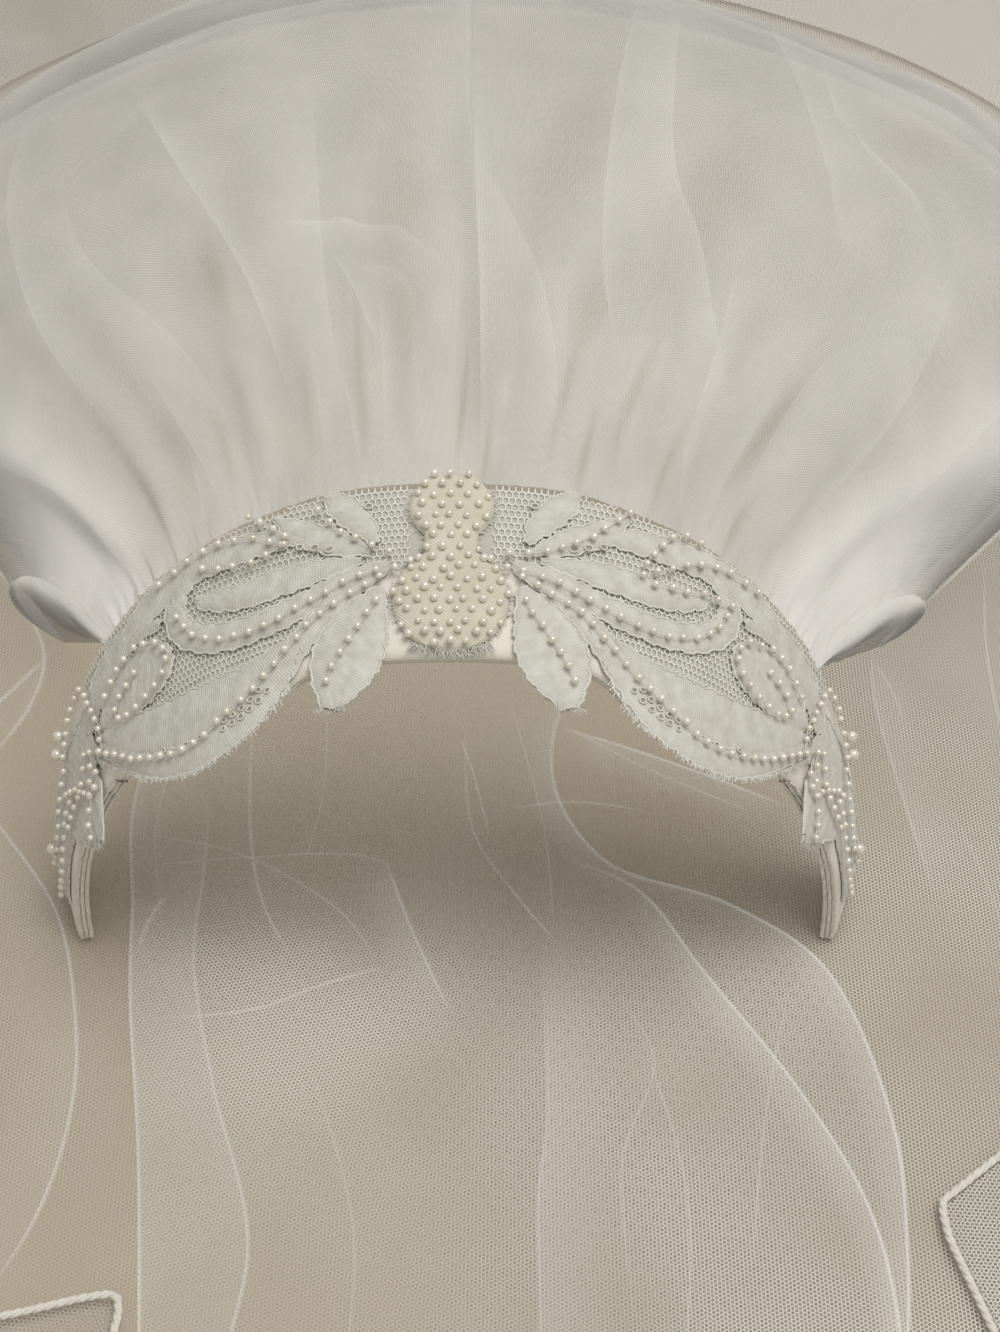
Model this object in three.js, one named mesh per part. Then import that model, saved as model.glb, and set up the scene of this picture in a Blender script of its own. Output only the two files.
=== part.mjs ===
// A bridal veil laid out on a table: a beaded lace headband standing on its two ends, a gathered
// pouf of tulle sewn to its back edge, and two tiers of tulle with corded hems lying under it.
// Millimetres and degrees. X is left to right, Y runs away from the viewer, Z is up.
import * as THREE from 'three';

// Clearances and walls
const GAP = 0.3;
const BAND_THICKNESS = 3.2;
const LACE_THICKNESS = 1.0;
const PETAL_CROWN = 0.7;
const LEG_LACE_RELIEF = 0.4;
const POUF_WALL = 1.8;
const TIER_WALL = 1.4;
const CORD_RADIUS = 1.1;

// The long tier as it lies, and where the headband stands on it
const LONG_HALF_WIDTH = 420;
const LONG_HALF_DEPTH = 370;
const LONG_CORNER_POWER = 2.8;
const HEAD_FORWARD = 130;
const FOLD_CENTRE_BACK = 40;
const HEM_WAVE = 0.035;
const HEM_WAVES = 11;

// The arch of the headband, measured on its front edge
const ARCH_HALF_WIDTH = 77;
const ARCH_HEIGHT = 86;
const ARCH_POWER = 0.93;
const LEAN = THREE.MathUtils.degToRad(18);

// Front and back edges of the band, across it, at distances along the arch from its top
const BAND_EDGES = [
  { along: 0, front: 0, back: 34.5 },
  { along: 20, front: 0, back: 34.5 },
  { along: 28, front: -1, back: 33.6 },
  { along: 36, front: -5.5, back: 32.8 },
  { along: 45, front: -8.5, back: 31.8 },
  { along: 53, front: -8.8, back: 30.6 },
  { along: 61, front: -6, back: 29 },
  { along: 69, front: -1.8, back: 27.2 },
  { along: 77, front: 0, back: 25.2 },
  { along: 90, front: 0, back: 22 },
  { along: 110, front: 0, back: 19 },
  { along: 130, front: 0, back: 18 },
];

// Lower outline of the lace spray on each side, from the medallion to the leg
const SPRAY_EDGES = [
  { along: 10, low: 16.4 },
  { along: 16, low: 14.8 },
  { along: 20, low: 12.4 },
  { along: 24, low: 8 },
  { along: 27.5, low: 2.4 },
  { along: 30, low: -3.4 },
  { along: 36, low: -8.2 },
  { along: 43, low: -10.8 },
  { along: 50, low: -11.8 },
  { along: 57, low: -10.6 },
  { along: 65, low: -6.4 },
  { along: 72, low: -0.6 },
  { along: 79, low: 6.5 },
];
const SPRAY_END = 79;
const SPRAY_SCALLOP = 0.5;
const SPRAY_SCALLOP_PITCH = 4.5;

// Lace on each leg, with the tab that hangs in front of the band
const LEG_LACE_EDGES = [
  { along: 79.4, low: 2.5 },
  { along: 82, low: -4 },
  { along: 84.5, low: -8.8 },
  { along: 91, low: -4.6 },
  { along: 97, low: 0.2 },
  { along: 108, low: 0.6 },
  { along: 122, low: 0.8 },
];

// Petal of lace under each side of the medallion: a middle line and its half widths
const PETAL_LINE = [
  { along: 12, across: 13.6 },
  { along: 14.8, across: 8.6 },
  { along: 17.6, across: 2.6 },
  { along: 20, across: -3.2 },
  { along: 22, across: -8.8 },
];
const PETAL_HALF_WIDTHS = [
  { step: 0, half: 0.8 },
  { step: 0.25, half: 4.2 },
  { step: 0.5, half: 6.4 },
  { step: 0.75, half: 5.4 },
  { step: 1, half: 1.6 },
];

// Medallion of two round lobes joined at a waist
const LOBE_LOW = { across: 10.8, radius: 10.2 };
const LOBE_TOP = { across: 29.4, radius: 7.1 };
const WAIST_HALF_WIDTH = 4.6;
const MEDALLION_START = 0.8;
const MEDALLION_END = 36.3;
const MEDALLION_CROWN = 1.1;

// Raised lines of the lace, in the band's own measure
const LEAF_RIM = [
  { along: 12, across: 18.4 },
  { along: 23, across: 11.4 },
  { along: 31, across: 3.6 },
  { along: 40, across: -3.6 },
  { along: 50, across: -7 },
  { along: 62, across: -4 },
  { along: 74, across: 5 },
];
const SCROLL = [
  { along: 12, across: 20 },
  { along: 27, across: 12 },
  { along: 36, across: 10 },
  { along: 45, across: 12 },
  { along: 51, across: 19 },
  { along: 49, across: 25 },
  { along: 41, across: 24 },
];
const UPPER_SPRIG = [
  { along: 13, across: 23 },
  { along: 22, across: 26 },
  { along: 31, across: 31 },
];
const PAISLEY = { along: 64, across: 13, radius: 7 };
const RIDGE_HEIGHT = 0.8;
const RIDGE_REACH = 2.6;

// Seam of the pouf along the band's back edge, and its rim on the tiers
const SEAM_LEFT = -70;
const SEAM_RIGHT = 76;
const POUF_RIM = [
  { x: -90, y: 82 },
  { x: -150, y: 172 },
  { x: -140, y: 264 },
  { x: -76, y: 326 },
  { x: 0, y: 345 },
  { x: 82, y: 324 },
  { x: 150, y: 262 },
  { x: 164, y: 172 },
  { x: 94, y: 80 },
];
const POUF_COLUMNS = 78;
const POUF_ROWS = 9;
const POUF_GATHERS = 26;
const POUF_GATHER_HEIGHT = 2.6;
const POUF_FOLDS = 12;
const POUF_FOLD_HEIGHT = 5.5;
const POUF_WANDER = { slow: 0.006, slowWaves: 17, quick: 0.004, quickWaves: 41, start: 0 };
const POUF_FOLD_SIZES = { mean: 0.7, swing: 0.3, waves: 23, start: 2 };
const POUF_CENTRE_BACK = 160;
// Handles of the pouf's curve from seam to rim, at its middle and at its sides: how far it puffs
// off the band and runs back there, and how far out and high it stands over its rim
const POUF_PUFF = { middle: 26, side: 20 };
const POUF_RUN = { middle: 62, side: 26 };
const POUF_SWELL = { middle: -26, side: 20 };
const POUF_FALL = { middle: 52, side: 34 };

// Short tier: its inner and outer edges from the right front corner round the back to the left one
const SHORT_TIER = [
  { inX: 91, inY: -62, outX: 130, outY: -188 },
  { inX: 110, inY: -47, outX: 212, outY: -184 },
  { inX: 138, inY: -26, outX: 266, outY: -142 },
  { inX: 158, inY: 20, outX: 338, outY: -70 },
  { inX: 160, inY: 85, outX: 350, outY: 50 },
  { inX: 175, inY: 165, outX: 340, outY: 200 },
  { inX: 160, inY: 272, outX: 290, outY: 345 },
  { inX: 88, inY: 336, outX: 160, outY: 430 },
  { inX: 0, inY: 357, outX: 5, outY: 452 },
  { inX: -82, inY: 338, outX: -150, outY: 436 },
  { inX: -152, inY: 272, outX: -275, outY: 355 },
  { inX: -163, inY: 172, outX: -345, outY: 215 },
  { inX: -148, inY: 85, outX: -358, outY: 60 },
  { inX: -150, inY: 10, outX: -345, outY: -70 },
  { inX: -132, inY: -52, outX: -266, outY: -142 },
  { inX: -98, inY: -84, outX: -188, outY: -184 },
  { inX: -60, inY: -80, outX: -86, outY: -190 },
];

// Folds that run outward to the hem of the long tier: their turn round its outline, their height,
// the share of the way out at which they begin, and how many degrees they reach to each side
const LONG_FOLDS = [
  { turn: -90, height: 3.5, from: 0.5, reach: 2.6 },
  { turn: -67.5, height: 5, from: 0.91, reach: 5 },
  { turn: -112.5, height: 4.5, from: 0.91, reach: 5 },
  { turn: -41.25, height: 9.5, from: 0.91, reach: 5 },
  { turn: -11.25, height: 12, from: 0.91, reach: 5 },
  { turn: 15, height: 9.5, from: 0.91, reach: 5 },
  { turn: 41.25, height: 12, from: 0.91, reach: 5 },
  { turn: 71.25, height: 9.5, from: 0.91, reach: 5 },
  { turn: 97.5, height: 12, from: 0.91, reach: 5 },
  { turn: 127.5, height: 9.5, from: 0.91, reach: 5 },
  { turn: 153.75, height: 12, from: 0.91, reach: 5 },
  { turn: 180, height: 9.5, from: 0.91, reach: 5 },
  { turn: -157.5, height: 12, from: 0.91, reach: 5 },
  { turn: -135, height: 5, from: 0.91, reach: 5 },
];
const LONG_FOLD_GROWTH = 0.25;
const LONG_SPOKES = 96;
const LONG_RINGS = [0.12, 0.26, 0.4, 0.52, 0.64, 0.74, 0.83, 0.91, 0.97, 1];
const SHORT_COLUMNS = 76;
const SHORT_ROWS = 5;
const SHORT_FOLDS = 19;
const SHORT_FOLD_HEIGHT = 10;
const SHORT_WANDER = { slow: 0.008, slowWaves: 19, quick: 0.005, quickWaves: 43, start: 1 };
const SHORT_FOLD_SIZES = { mean: 0.65, swing: 0.35, waves: 29, start: 1 };
const SHORT_FOLD_RUN = { from: 0.08, to: 0.85 };
// How far the short tier's cord runs back along the inner edge from each front corner
const SHORT_CORD_INNER = 0.22;

const colours = {
  tulle: 0xf1efe9,
  lace: 0xf4f2ec,
  medallion: 0xeae2cb,
  satin: 0xefece4,
  cord: 0xeee6d3,
};

function material(colour, roughness) {
  return new THREE.MeshStandardMaterial({ color: colour, roughness, metalness: 0 });
}

// Value of a column at x, on a smooth curve through the rows of a table
function along(rows, key, column, x) {
  const last = rows.length - 1;
  if (x <= rows[0][key]) return rows[0][column];
  if (x >= rows[last][key]) return rows[last][column];
  const i = rows.findIndex((row) => row[key] > x) - 1;
  const slope = (a, b) => (rows[b][column] - rows[a][column]) / (rows[b][key] - rows[a][key]);
  const span = rows[i + 1][key] - rows[i][key];
  const t = (x - rows[i][key]) / span;
  const before = i > 0 ? slope(i - 1, i + 1) : slope(i, i + 1);
  const after = i + 1 < last ? slope(i, i + 2) : slope(i, i + 1);
  const ease = t * t * (3 - 2 * t);
  const value = rows[i][column] * (1 - ease) + rows[i + 1][column] * ease;
  return value + span * (before * t * (1 - t) ** 2 - after * t * t * (1 - t));
}

// The same, for a table whose rows are evenly spaced from 0 to 1
function evenly(rows, column, x) {
  const stepped = rows.map((row, i) => ({ step: i / (rows.length - 1), value: row[column] }));
  return along(stepped, 'step', 'value', x);
}

// Front edge of the arch as a table of equal turns, with the length along it
const archTable = makeArchTable();

function makeArchTable() {
  const turns = 400;
  const rows = [];
  let length = 0;
  for (let i = 0; i <= turns; i++) {
    const turn = (i / turns) * (Math.PI / 2);
    const x = ARCH_HALF_WIDTH * Math.sin(turn) ** ARCH_POWER;
    const z = ARCH_HEIGHT * Math.max(Math.cos(turn), 0) ** ARCH_POWER;
    if (i > 0) length += Math.hypot(x - rows[i - 1].x, z - rows[i - 1].z);
    rows.push({ length, x, z });
  }
  return rows;
}

const ARCH_LENGTH = archTable[archTable.length - 1].length;

function archRow(distance) {
  let low = 0;
  let high = archTable.length - 1;
  while (high - low > 1) {
    const middle = (low + high) >> 1;
    if (archTable[middle].length > distance) high = middle;
    else low = middle;
  }
  return low;
}

// Point on the band: distance along the arch from its top, across it from the front edge, and lift
// from its outer face
function bandPoint(s, across, lift) {
  const side = Math.sign(s) || 1;
  const distance = Math.min(Math.abs(s), ARCH_LENGTH);
  const i = archRow(distance);
  const a = archTable[i];
  const b = archTable[i + 1];
  const t = (distance - a.length) / (b.length - a.length);
  const first = archTable[Math.max(i - 4, 0)];
  const second = archTable[Math.min(i + 5, archTable.length - 1)];
  const tangent = new THREE.Vector2(second.x - first.x, second.z - first.z).normalize();
  if (distance < 1e-6) tangent.set(1, 0);
  if (distance > ARCH_LENGTH - 1e-6) tangent.set(0, -1);
  const outX = -tangent.y;
  const outZ = tangent.x;
  const outward = across * Math.sin(LEAN) + lift * Math.cos(LEAN);
  return new THREE.Vector3(
    side * (THREE.MathUtils.lerp(a.x, b.x, t) + outX * outward),
    across * Math.cos(LEAN) - lift * Math.sin(LEAN),
    THREE.MathUtils.lerp(a.z, b.z, t) + outZ * outward,
  );
}

const bandFront = (s) => along(BAND_EDGES, 'along', 'front', Math.abs(s));
const bandBack = (s) => along(BAND_EDGES, 'along', 'back', Math.abs(s));

// Geometry from points and triangles, turned so that its faces point out
function solid(points, triangles) {
  let volume = 0;
  for (const [a, b, c] of triangles) {
    volume += points[a].dot(points[b].clone().cross(points[c]));
  }
  const index = triangles.flatMap(([a, b, c]) => (volume < 0 ? [a, c, b] : [a, b, c]));
  const geometry = new THREE.BufferGeometry();
  geometry.setAttribute(
    'position',
    new THREE.Float32BufferAttribute(points.flatMap((p) => [p.x, p.y, p.z]), 3),
  );
  geometry.setIndex(index);
  geometry.computeVertexNormals();
  return geometry;
}

// A wall of cloth: the outer and inner faces of a grid, joined round its four sides
function wall(columns, rows, outer, inner) {
  const points = [];
  for (const face of [outer, inner]) {
    for (let i = 0; i <= columns; i++) {
      for (let j = 0; j <= rows; j++) points.push(face(i / columns, j / rows));
    }
  }
  const count = (columns + 1) * (rows + 1);
  const at = (i, j) => i * (rows + 1) + j;
  const triangles = [];
  for (let i = 0; i < columns; i++) {
    for (let j = 0; j < rows; j++) {
      const [a, b, c, d] = [at(i, j), at(i + 1, j), at(i + 1, j + 1), at(i, j + 1)];
      triangles.push([a, b, c], [a, c, d]);
      triangles.push([a + count, c + count, b + count], [a + count, d + count, c + count]);
    }
  }
  const loop = edgeLoop(columns, rows, at);
  for (let k = 0; k < loop.length; k++) {
    const a = loop[k];
    const b = loop[(k + 1) % loop.length];
    triangles.push([b, a, a + count], [b, a + count, b + count]);
  }
  return solid(points, triangles);
}

function edgeLoop(columns, rows, at) {
  const loop = [];
  for (let i = 0; i < columns; i++) loop.push(at(i, 0));
  for (let j = 0; j < rows; j++) loop.push(at(columns, j));
  for (let i = columns; i > 0; i--) loop.push(at(i, rows));
  for (let j = rows; j > 0; j--) loop.push(at(0, j));
  return loop;
}

// A sheet whose underside is flat: its top faces, the wall down from its edge, and one flat floor
function laidSheet(top, triangles, loop, underside) {
  const points = top.slice();
  const faces = triangles.slice();
  const first = points.length;
  for (const k of loop) points.push(new THREE.Vector3(top[k].x, top[k].y, underside));
  for (let k = 0; k < loop.length; k++) {
    const next = (k + 1) % loop.length;
    faces.push([loop[next], loop[k], first + k], [loop[next], first + k, first + next]);
  }
  const outline = loop.map((k) => new THREE.Vector2(top[k].x, top[k].y));
  for (const [a, b, c] of THREE.ShapeUtils.triangulateShape(outline, [])) {
    faces.push([first + a, first + c, first + b]);
  }
  return solid(points, faces);
}

// A cord along points, its section a ring of flat sides
function cord(line, radius, closed) {
  const sides = 4;
  const points = [];
  const triangles = [];
  const count = line.length;
  for (let i = 0; i < count; i++) {
    const before = line[closed ? (i + count - 1) % count : Math.max(i - 1, 0)];
    const after = line[closed ? (i + 1) % count : Math.min(i + 1, count - 1)];
    const across = new THREE.Vector3(after.y - before.y, before.x - after.x, 0).normalize();
    for (let k = 0; k < sides; k++) {
      const turn = (2 * Math.PI * k) / sides + Math.PI / 2;
      const p = line[i].clone().addScaledVector(across, radius * Math.cos(turn));
      p.z += radius * Math.sin(turn);
      points.push(p);
    }
  }
  const spans = closed ? count : count - 1;
  for (let i = 0; i < spans; i++) {
    for (let k = 0; k < sides; k++) {
      const a = i * sides + k;
      const b = i * sides + ((k + 1) % sides);
      const c = ((i + 1) % count) * sides + ((k + 1) % sides);
      const d = ((i + 1) % count) * sides + k;
      triangles.push([a, b, c], [a, c, d]);
    }
  }
  if (!closed) {
    const end = (count - 1) * sides;
    for (let k = 1; k < sides - 1; k++) {
      triangles.push([0, k + 1, k], [end, end + k, end + k + 1]);
    }
  }
  return solid(points, triangles);
}

// Padded band: rings round its section, from one end of the arch to the other
function headbandBase() {
  const sections = 48;
  const ring = [
    { across: 0, lift: 0.32 },
    { across: 0.05, lift: 0.86 },
    { across: 0.12, lift: 1 },
    { across: 0.36, lift: 1 },
    { across: 0.64, lift: 1 },
    { across: 0.88, lift: 1 },
    { across: 0.96, lift: 0.86 },
    { across: 1, lift: 0.32 },
    { across: 0.94, lift: 0 },
    { across: 0.5, lift: 0 },
    { across: 0.06, lift: 0 },
  ];
  const points = [];
  const triangles = [];
  for (let i = 0; i <= sections; i++) {
    const s = (2 * i / sections - 1) * ARCH_LENGTH;
    for (const corner of ring) {
      const across = THREE.MathUtils.lerp(bandFront(s), bandBack(s), corner.across);
      const p = bandPoint(s, across, (corner.lift - 1) * BAND_THICKNESS);
      p.z = Math.max(p.z, 0);
      points.push(p);
    }
  }
  const n = ring.length;
  for (let i = 0; i < sections; i++) {
    for (let k = 0; k < n; k++) {
      const a = i * n + k;
      const b = i * n + ((k + 1) % n);
      triangles.push([a, b, b + n], [a, b + n, a + n]);
    }
  }
  const end = sections * n;
  for (let k = 1; k < n - 1; k++) {
    triangles.push([0, k + 1, k], [end, end + k, end + k + 1]);
  }
  return solid(points, triangles);
}

// Height of the lace over its ground at a place on the band, from the lines drawn on it
function ridge(lines, s, across) {
  let nearest = Infinity;
  for (const line of lines) {
    for (let i = 0; i + 1 < line.length; i++) {
      const dx = line[i + 1].along - line[i].along;
      const dy = line[i + 1].across - line[i].across;
      const dot = (s - line[i].along) * dx + (across - line[i].across) * dy;
      const t = THREE.MathUtils.clamp(dot / (dx * dx + dy * dy), 0, 1);
      const x = line[i].along + dx * t - s;
      const y = line[i].across + dy * t - across;
      nearest = Math.min(nearest, Math.hypot(x, y));
    }
  }
  const fade = Math.max(0, 1 - nearest / RIDGE_REACH);
  return RIDGE_HEIGHT * fade * fade * (3 - 2 * fade);
}

function ringLine({ along: centre, across, radius }) {
  const turns = 12;
  return Array.from({ length: turns + 1 }, (_, i) => ({
    along: centre + radius * Math.cos((2 * Math.PI * i) / turns),
    across: across + 1.15 * radius * Math.sin((2 * Math.PI * i) / turns),
  }));
}

// Half width of the medallion at a place across the band
function medallionHalf(across) {
  const lobe = (l) => Math.sqrt(Math.max(0, l.radius ** 2 - (across - l.across) ** 2));
  const between = across > LOBE_LOW.across && across < LOBE_TOP.across;
  return Math.max(lobe(LOBE_LOW), lobe(LOBE_TOP), between ? WAIST_HALF_WIDTH : 1);
}

function medallion() {
  const place = (i, j) => {
    const across = THREE.MathUtils.lerp(MEDALLION_START, MEDALLION_END, i);
    return { s: (2 * j - 1) * medallionHalf(across), across };
  };
  const crown = (i, j) => MEDALLION_CROWN * (1 - (2 * j - 1) ** 4) * Math.min(1, 6 * Math.min(i, 1 - i));
  const outer = (i, j) => {
    const { s, across } = place(i, j);
    return bandPoint(s, across, GAP + LACE_THICKNESS + crown(i, j));
  };
  const inner = (i, j) => {
    const { s, across } = place(i, j);
    return bandPoint(s, across, GAP);
  };
  return wall(16, 6, outer, inner);
}

// Leaf, scroll and paisley of lace on one side of the band
function spray(side) {
  const lines = [LEAF_RIM, SCROLL, UPPER_SPRIG, ringLine(PAISLEY)];
  const place = (i, j) => {
    const start = THREE.MathUtils.lerp(SPRAY_EDGES[0].low, bandBack(0), j);
    const inside = medallionHalf(start) + 1.4;
    const s = THREE.MathUtils.lerp(inside, SPRAY_END, i);
    const scallop = SPRAY_SCALLOP * Math.abs(Math.sin((Math.PI * s) / SPRAY_SCALLOP_PITCH));
    const low = along(SPRAY_EDGES, 'along', 'low', s) + scallop * Math.min(1, 8 * i);
    return { s, across: THREE.MathUtils.lerp(low, bandBack(s) - 0.6, j) };
  };
  const outer = (i, j) => {
    const { s, across } = place(i, j);
    const raised = ridge(lines, s, across);
    return bandPoint(side * s, across, GAP + LACE_THICKNESS + raised);
  };
  const inner = (i, j) => {
    const { s, across } = place(i, j);
    return bandPoint(side * s, across, GAP);
  };
  return wall(26, 9, outer, inner);
}

function petal(side) {
  const place = (i, j) => {
    const half = along(PETAL_HALF_WIDTHS, 'step', 'half', i);
    const next = Math.min(i + 0.01, 1);
    const back = Math.max(i - 0.01, 0);
    const dx = evenly(PETAL_LINE, 'along', next) - evenly(PETAL_LINE, 'along', back);
    const dy = evenly(PETAL_LINE, 'across', next) - evenly(PETAL_LINE, 'across', back);
    const length = Math.hypot(dx, dy);
    const sideways = (2 * j - 1) * half;
    return {
      s: evenly(PETAL_LINE, 'along', i) - (dy / length) * sideways,
      across: evenly(PETAL_LINE, 'across', i) + (dx / length) * sideways,
    };
  };
  const outer = (i, j) => {
    const { s, across } = place(i, j);
    const raised = PETAL_CROWN * (1 - (2 * j - 1) ** 2);
    return bandPoint(side * s, across, GAP + LACE_THICKNESS + raised);
  };
  const inner = (i, j) => {
    const { s, across } = place(i, j);
    return bandPoint(side * s, across, GAP);
  };
  return wall(9, 5, outer, inner);
}

function legLace(side) {
  const start = LEG_LACE_EDGES[0].along;
  const end = LEG_LACE_EDGES[LEG_LACE_EDGES.length - 1].along;
  const place = (i, j) => {
    const s = THREE.MathUtils.lerp(start, end, i);
    const low = along(LEG_LACE_EDGES, 'along', 'low', s);
    return { s, across: THREE.MathUtils.lerp(low, bandBack(s) - 0.6, j) };
  };
  const outer = (i, j) => {
    const { s, across } = place(i, j);
    const raised = LEG_LACE_RELIEF * (1 + Math.cos(4 * Math.PI * j));
    return bandPoint(side * s, across, GAP + LACE_THICKNESS + raised);
  };
  const inner = (i, j) => {
    const { s, across } = place(i, j);
    return bandPoint(side * s, across, GAP);
  };
  return wall(12, 4, outer, inner);
}

// Plain surface of the pouf: from the seam at v = 0, up and back over, and down to its rim at v = 1
function poufSurface(u, v) {
  const s = THREE.MathUtils.lerp(SEAM_LEFT, SEAM_RIGHT, u);
  const seam = bandPoint(s, bandBack(s) + GAP, -0.6);
  const above = bandPoint(s, bandBack(s) + GAP, 0.4).sub(seam);
  const rim = new THREE.Vector3(evenly(POUF_RIM, 'x', u), evenly(POUF_RIM, 'y', u), 0);
  const toSide = (2 * u - 1) ** 2;
  const handle = ({ middle, side }) => THREE.MathUtils.lerp(middle, side, toSide);
  const away = rim.clone().sub(new THREE.Vector3(0, POUF_CENTRE_BACK, 0)).normalize();
  const rise = seam.clone().addScaledVector(above, handle(POUF_PUFF));
  rise.y += handle(POUF_RUN);
  const fall = rim.clone().addScaledVector(away, handle(POUF_SWELL));
  fall.z = handle(POUF_FALL);
  return new THREE.CubicBezierCurve3(seam, rise, fall, rim).getPoint(v);
}

function poufNormal(u, v) {
  const step = 0.01;
  const across = poufSurface(Math.min(u + step, 1), v).sub(poufSurface(Math.max(u - step, 0), v));
  const down = poufSurface(u, Math.min(v + step, 1)).sub(poufSurface(u, Math.max(v - step, 0)));
  return across.cross(down).normalize();
}

// Place along a seam or hem, shifted a little so that the folds are unevenly spaced
function unevenly(u, { slow, slowWaves, quick, quickWaves, start }) {
  return u + slow * Math.sin(slowWaves * u) + quick * Math.sin(quickWaves * u + start);
}

// Share of its full height that a fold has at a place along the seam or hem
function foldSize(u, { mean, swing, waves, start }) {
  return mean + swing * Math.sin(waves * u + start);
}

// Rounded waves from 0 to 1, so many to the whole length
function roundWaves(u, count) {
  return 0.5 - 0.5 * Math.cos(2 * Math.PI * count * u);
}

// Gathers at the seam, which run together into fewer and deeper folds
function poufRelief(u, v) {
  const gathers = POUF_GATHER_HEIGHT * roundWaves(u, POUF_GATHERS) * (1 - v) ** 3;
  const fold = foldSize(u, POUF_FOLD_SIZES) * roundWaves(unevenly(u, POUF_WANDER), POUF_FOLDS);
  const run = Math.sin(Math.PI * Math.min(1, v * 0.9 + 0.06));
  return gathers + POUF_FOLD_HEIGHT * fold * run;
}

function pouf() {
  const spread = (v) => v ** 1.25;
  const outer = (u, j) => {
    const v = spread(j);
    const p = poufSurface(u, v);
    const s = THREE.MathUtils.lerp(SEAM_LEFT, SEAM_RIGHT, u);
    const covered = Math.abs(s) < LOBE_TOP.radius + 1.5;
    if (v === 0) return bandPoint(s, bandBack(s) + GAP, covered ? -0.6 : 0.2 + poufRelief(u, 0));
    p.addScaledVector(poufNormal(u, v), poufRelief(u, v));
    p.z = v === 1 ? 0 : Math.max(p.z, 1);
    return p;
  };
  const inner = (u, j) => {
    const v = spread(j);
    const s = THREE.MathUtils.lerp(SEAM_LEFT, SEAM_RIGHT, u);
    if (v === 0) return bandPoint(s, bandBack(s) + GAP, -POUF_WALL);
    const p = poufSurface(u, v).addScaledVector(poufNormal(u, v), -POUF_WALL);
    p.z = v === 1 ? 0 : Math.max(p.z, 0.6);
    return p;
  };
  return wall(POUF_COLUMNS, POUF_ROWS, outer, inner);
}

// Outline of the long tier as it lies: a rounded oblong whose hem waves in and out
function longEdge(turn) {
  const power = 2 / LONG_CORNER_POWER;
  const c = Math.cos(turn);
  const s = Math.sin(turn);
  const wave = (1 - Math.cos(HEM_WAVES * turn)) / 2;
  const scale = 1 - HEM_WAVE * wave * Math.sin(2 * turn) ** 2;
  return new THREE.Vector2(
    scale * LONG_HALF_WIDTH * Math.sign(c) * Math.abs(c) ** power,
    scale * LONG_HALF_DEPTH * Math.sign(s) * Math.abs(s) ** power,
  );
}

// Height of the long tier's top face, at a turn of its outline and a share of the way out to it
function longTop(turn, share) {
  const degrees = THREE.MathUtils.radToDeg(turn);
  let height = TIER_WALL;
  for (const fold of LONG_FOLDS) {
    const off = Math.abs(THREE.MathUtils.euclideanModulo(degrees - fold.turn + 180, 360) - 180);
    const full = Math.min(fold.from + LONG_FOLD_GROWTH, 1);
    const grown = THREE.MathUtils.smoothstep(share, fold.from, full);
    height += fold.height * grown * Math.exp(-((off / fold.reach) ** 2));
  }
  return height;
}

function longTier() {
  const centre = new THREE.Vector2(0, FOLD_CENTRE_BACK - HEAD_FORWARD);
  const top = [new THREE.Vector3(centre.x, centre.y, TIER_WALL)];
  const triangles = [];
  for (const ring of LONG_RINGS) {
    for (let k = 0; k < LONG_SPOKES; k++) {
      const turn = (2 * Math.PI * k) / LONG_SPOKES;
      const edge = longEdge(turn);
      const x = THREE.MathUtils.lerp(centre.x, edge.x, ring);
      const y = THREE.MathUtils.lerp(centre.y, edge.y, ring);
      top.push(new THREE.Vector3(x, y, longTop(turn, ring)));
    }
  }
  const at = (ring, k) => 1 + ring * LONG_SPOKES + (k % LONG_SPOKES);
  for (let k = 0; k < LONG_SPOKES; k++) triangles.push([0, at(0, k), at(0, k + 1)]);
  for (let ring = 0; ring + 1 < LONG_RINGS.length; ring++) {
    for (let k = 0; k < LONG_SPOKES; k++) {
      const [a, b] = [at(ring, k), at(ring + 1, k)];
      const [c, d] = [at(ring + 1, k + 1), at(ring, k + 1)];
      triangles.push([a, b, c], [a, c, d]);
    }
  }
  const loop = Array.from({ length: LONG_SPOKES }, (_, k) => at(LONG_RINGS.length - 1, k));
  return laidSheet(top, triangles, loop, 0);
}

function longCord() {
  const line = [];
  for (let k = 0; k < LONG_SPOKES; k++) {
    const turn = (2 * Math.PI * k) / LONG_SPOKES;
    const edge = longEdge(turn);
    const outward = edge.clone().normalize().multiplyScalar(1.7 * CORD_RADIUS);
    const z = CORD_RADIUS + GAP + 0.9 * (longTop(turn, 1) - TIER_WALL);
    line.push(new THREE.Vector3(edge.x + outward.x, edge.y + outward.y, z));
  }
  return cord(line, CORD_RADIUS, true);
}

// Place on the short tier: round it from corner to corner, and from its inner edge to its hem
function shortPlace(u, v) {
  const x = THREE.MathUtils.lerp(evenly(SHORT_TIER, 'inX', u), evenly(SHORT_TIER, 'outX', u), v);
  const y = THREE.MathUtils.lerp(evenly(SHORT_TIER, 'inY', u), evenly(SHORT_TIER, 'outY', u), v);
  return new THREE.Vector2(x, y - HEAD_FORWARD);
}

function shortFold(u, v) {
  const wave = roundWaves(unevenly(u, SHORT_WANDER), SHORT_FOLDS) ** 2;
  const ends = Math.min(1, 14 * Math.min(u, 1 - u));
  const run = THREE.MathUtils.smoothstep(v, SHORT_FOLD_RUN.from, SHORT_FOLD_RUN.to);
  return SHORT_FOLD_HEIGHT * wave * foldSize(u, SHORT_FOLD_SIZES) * ends * run;
}

const SHORT_UNDERSIDE = TIER_WALL + GAP;

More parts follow.
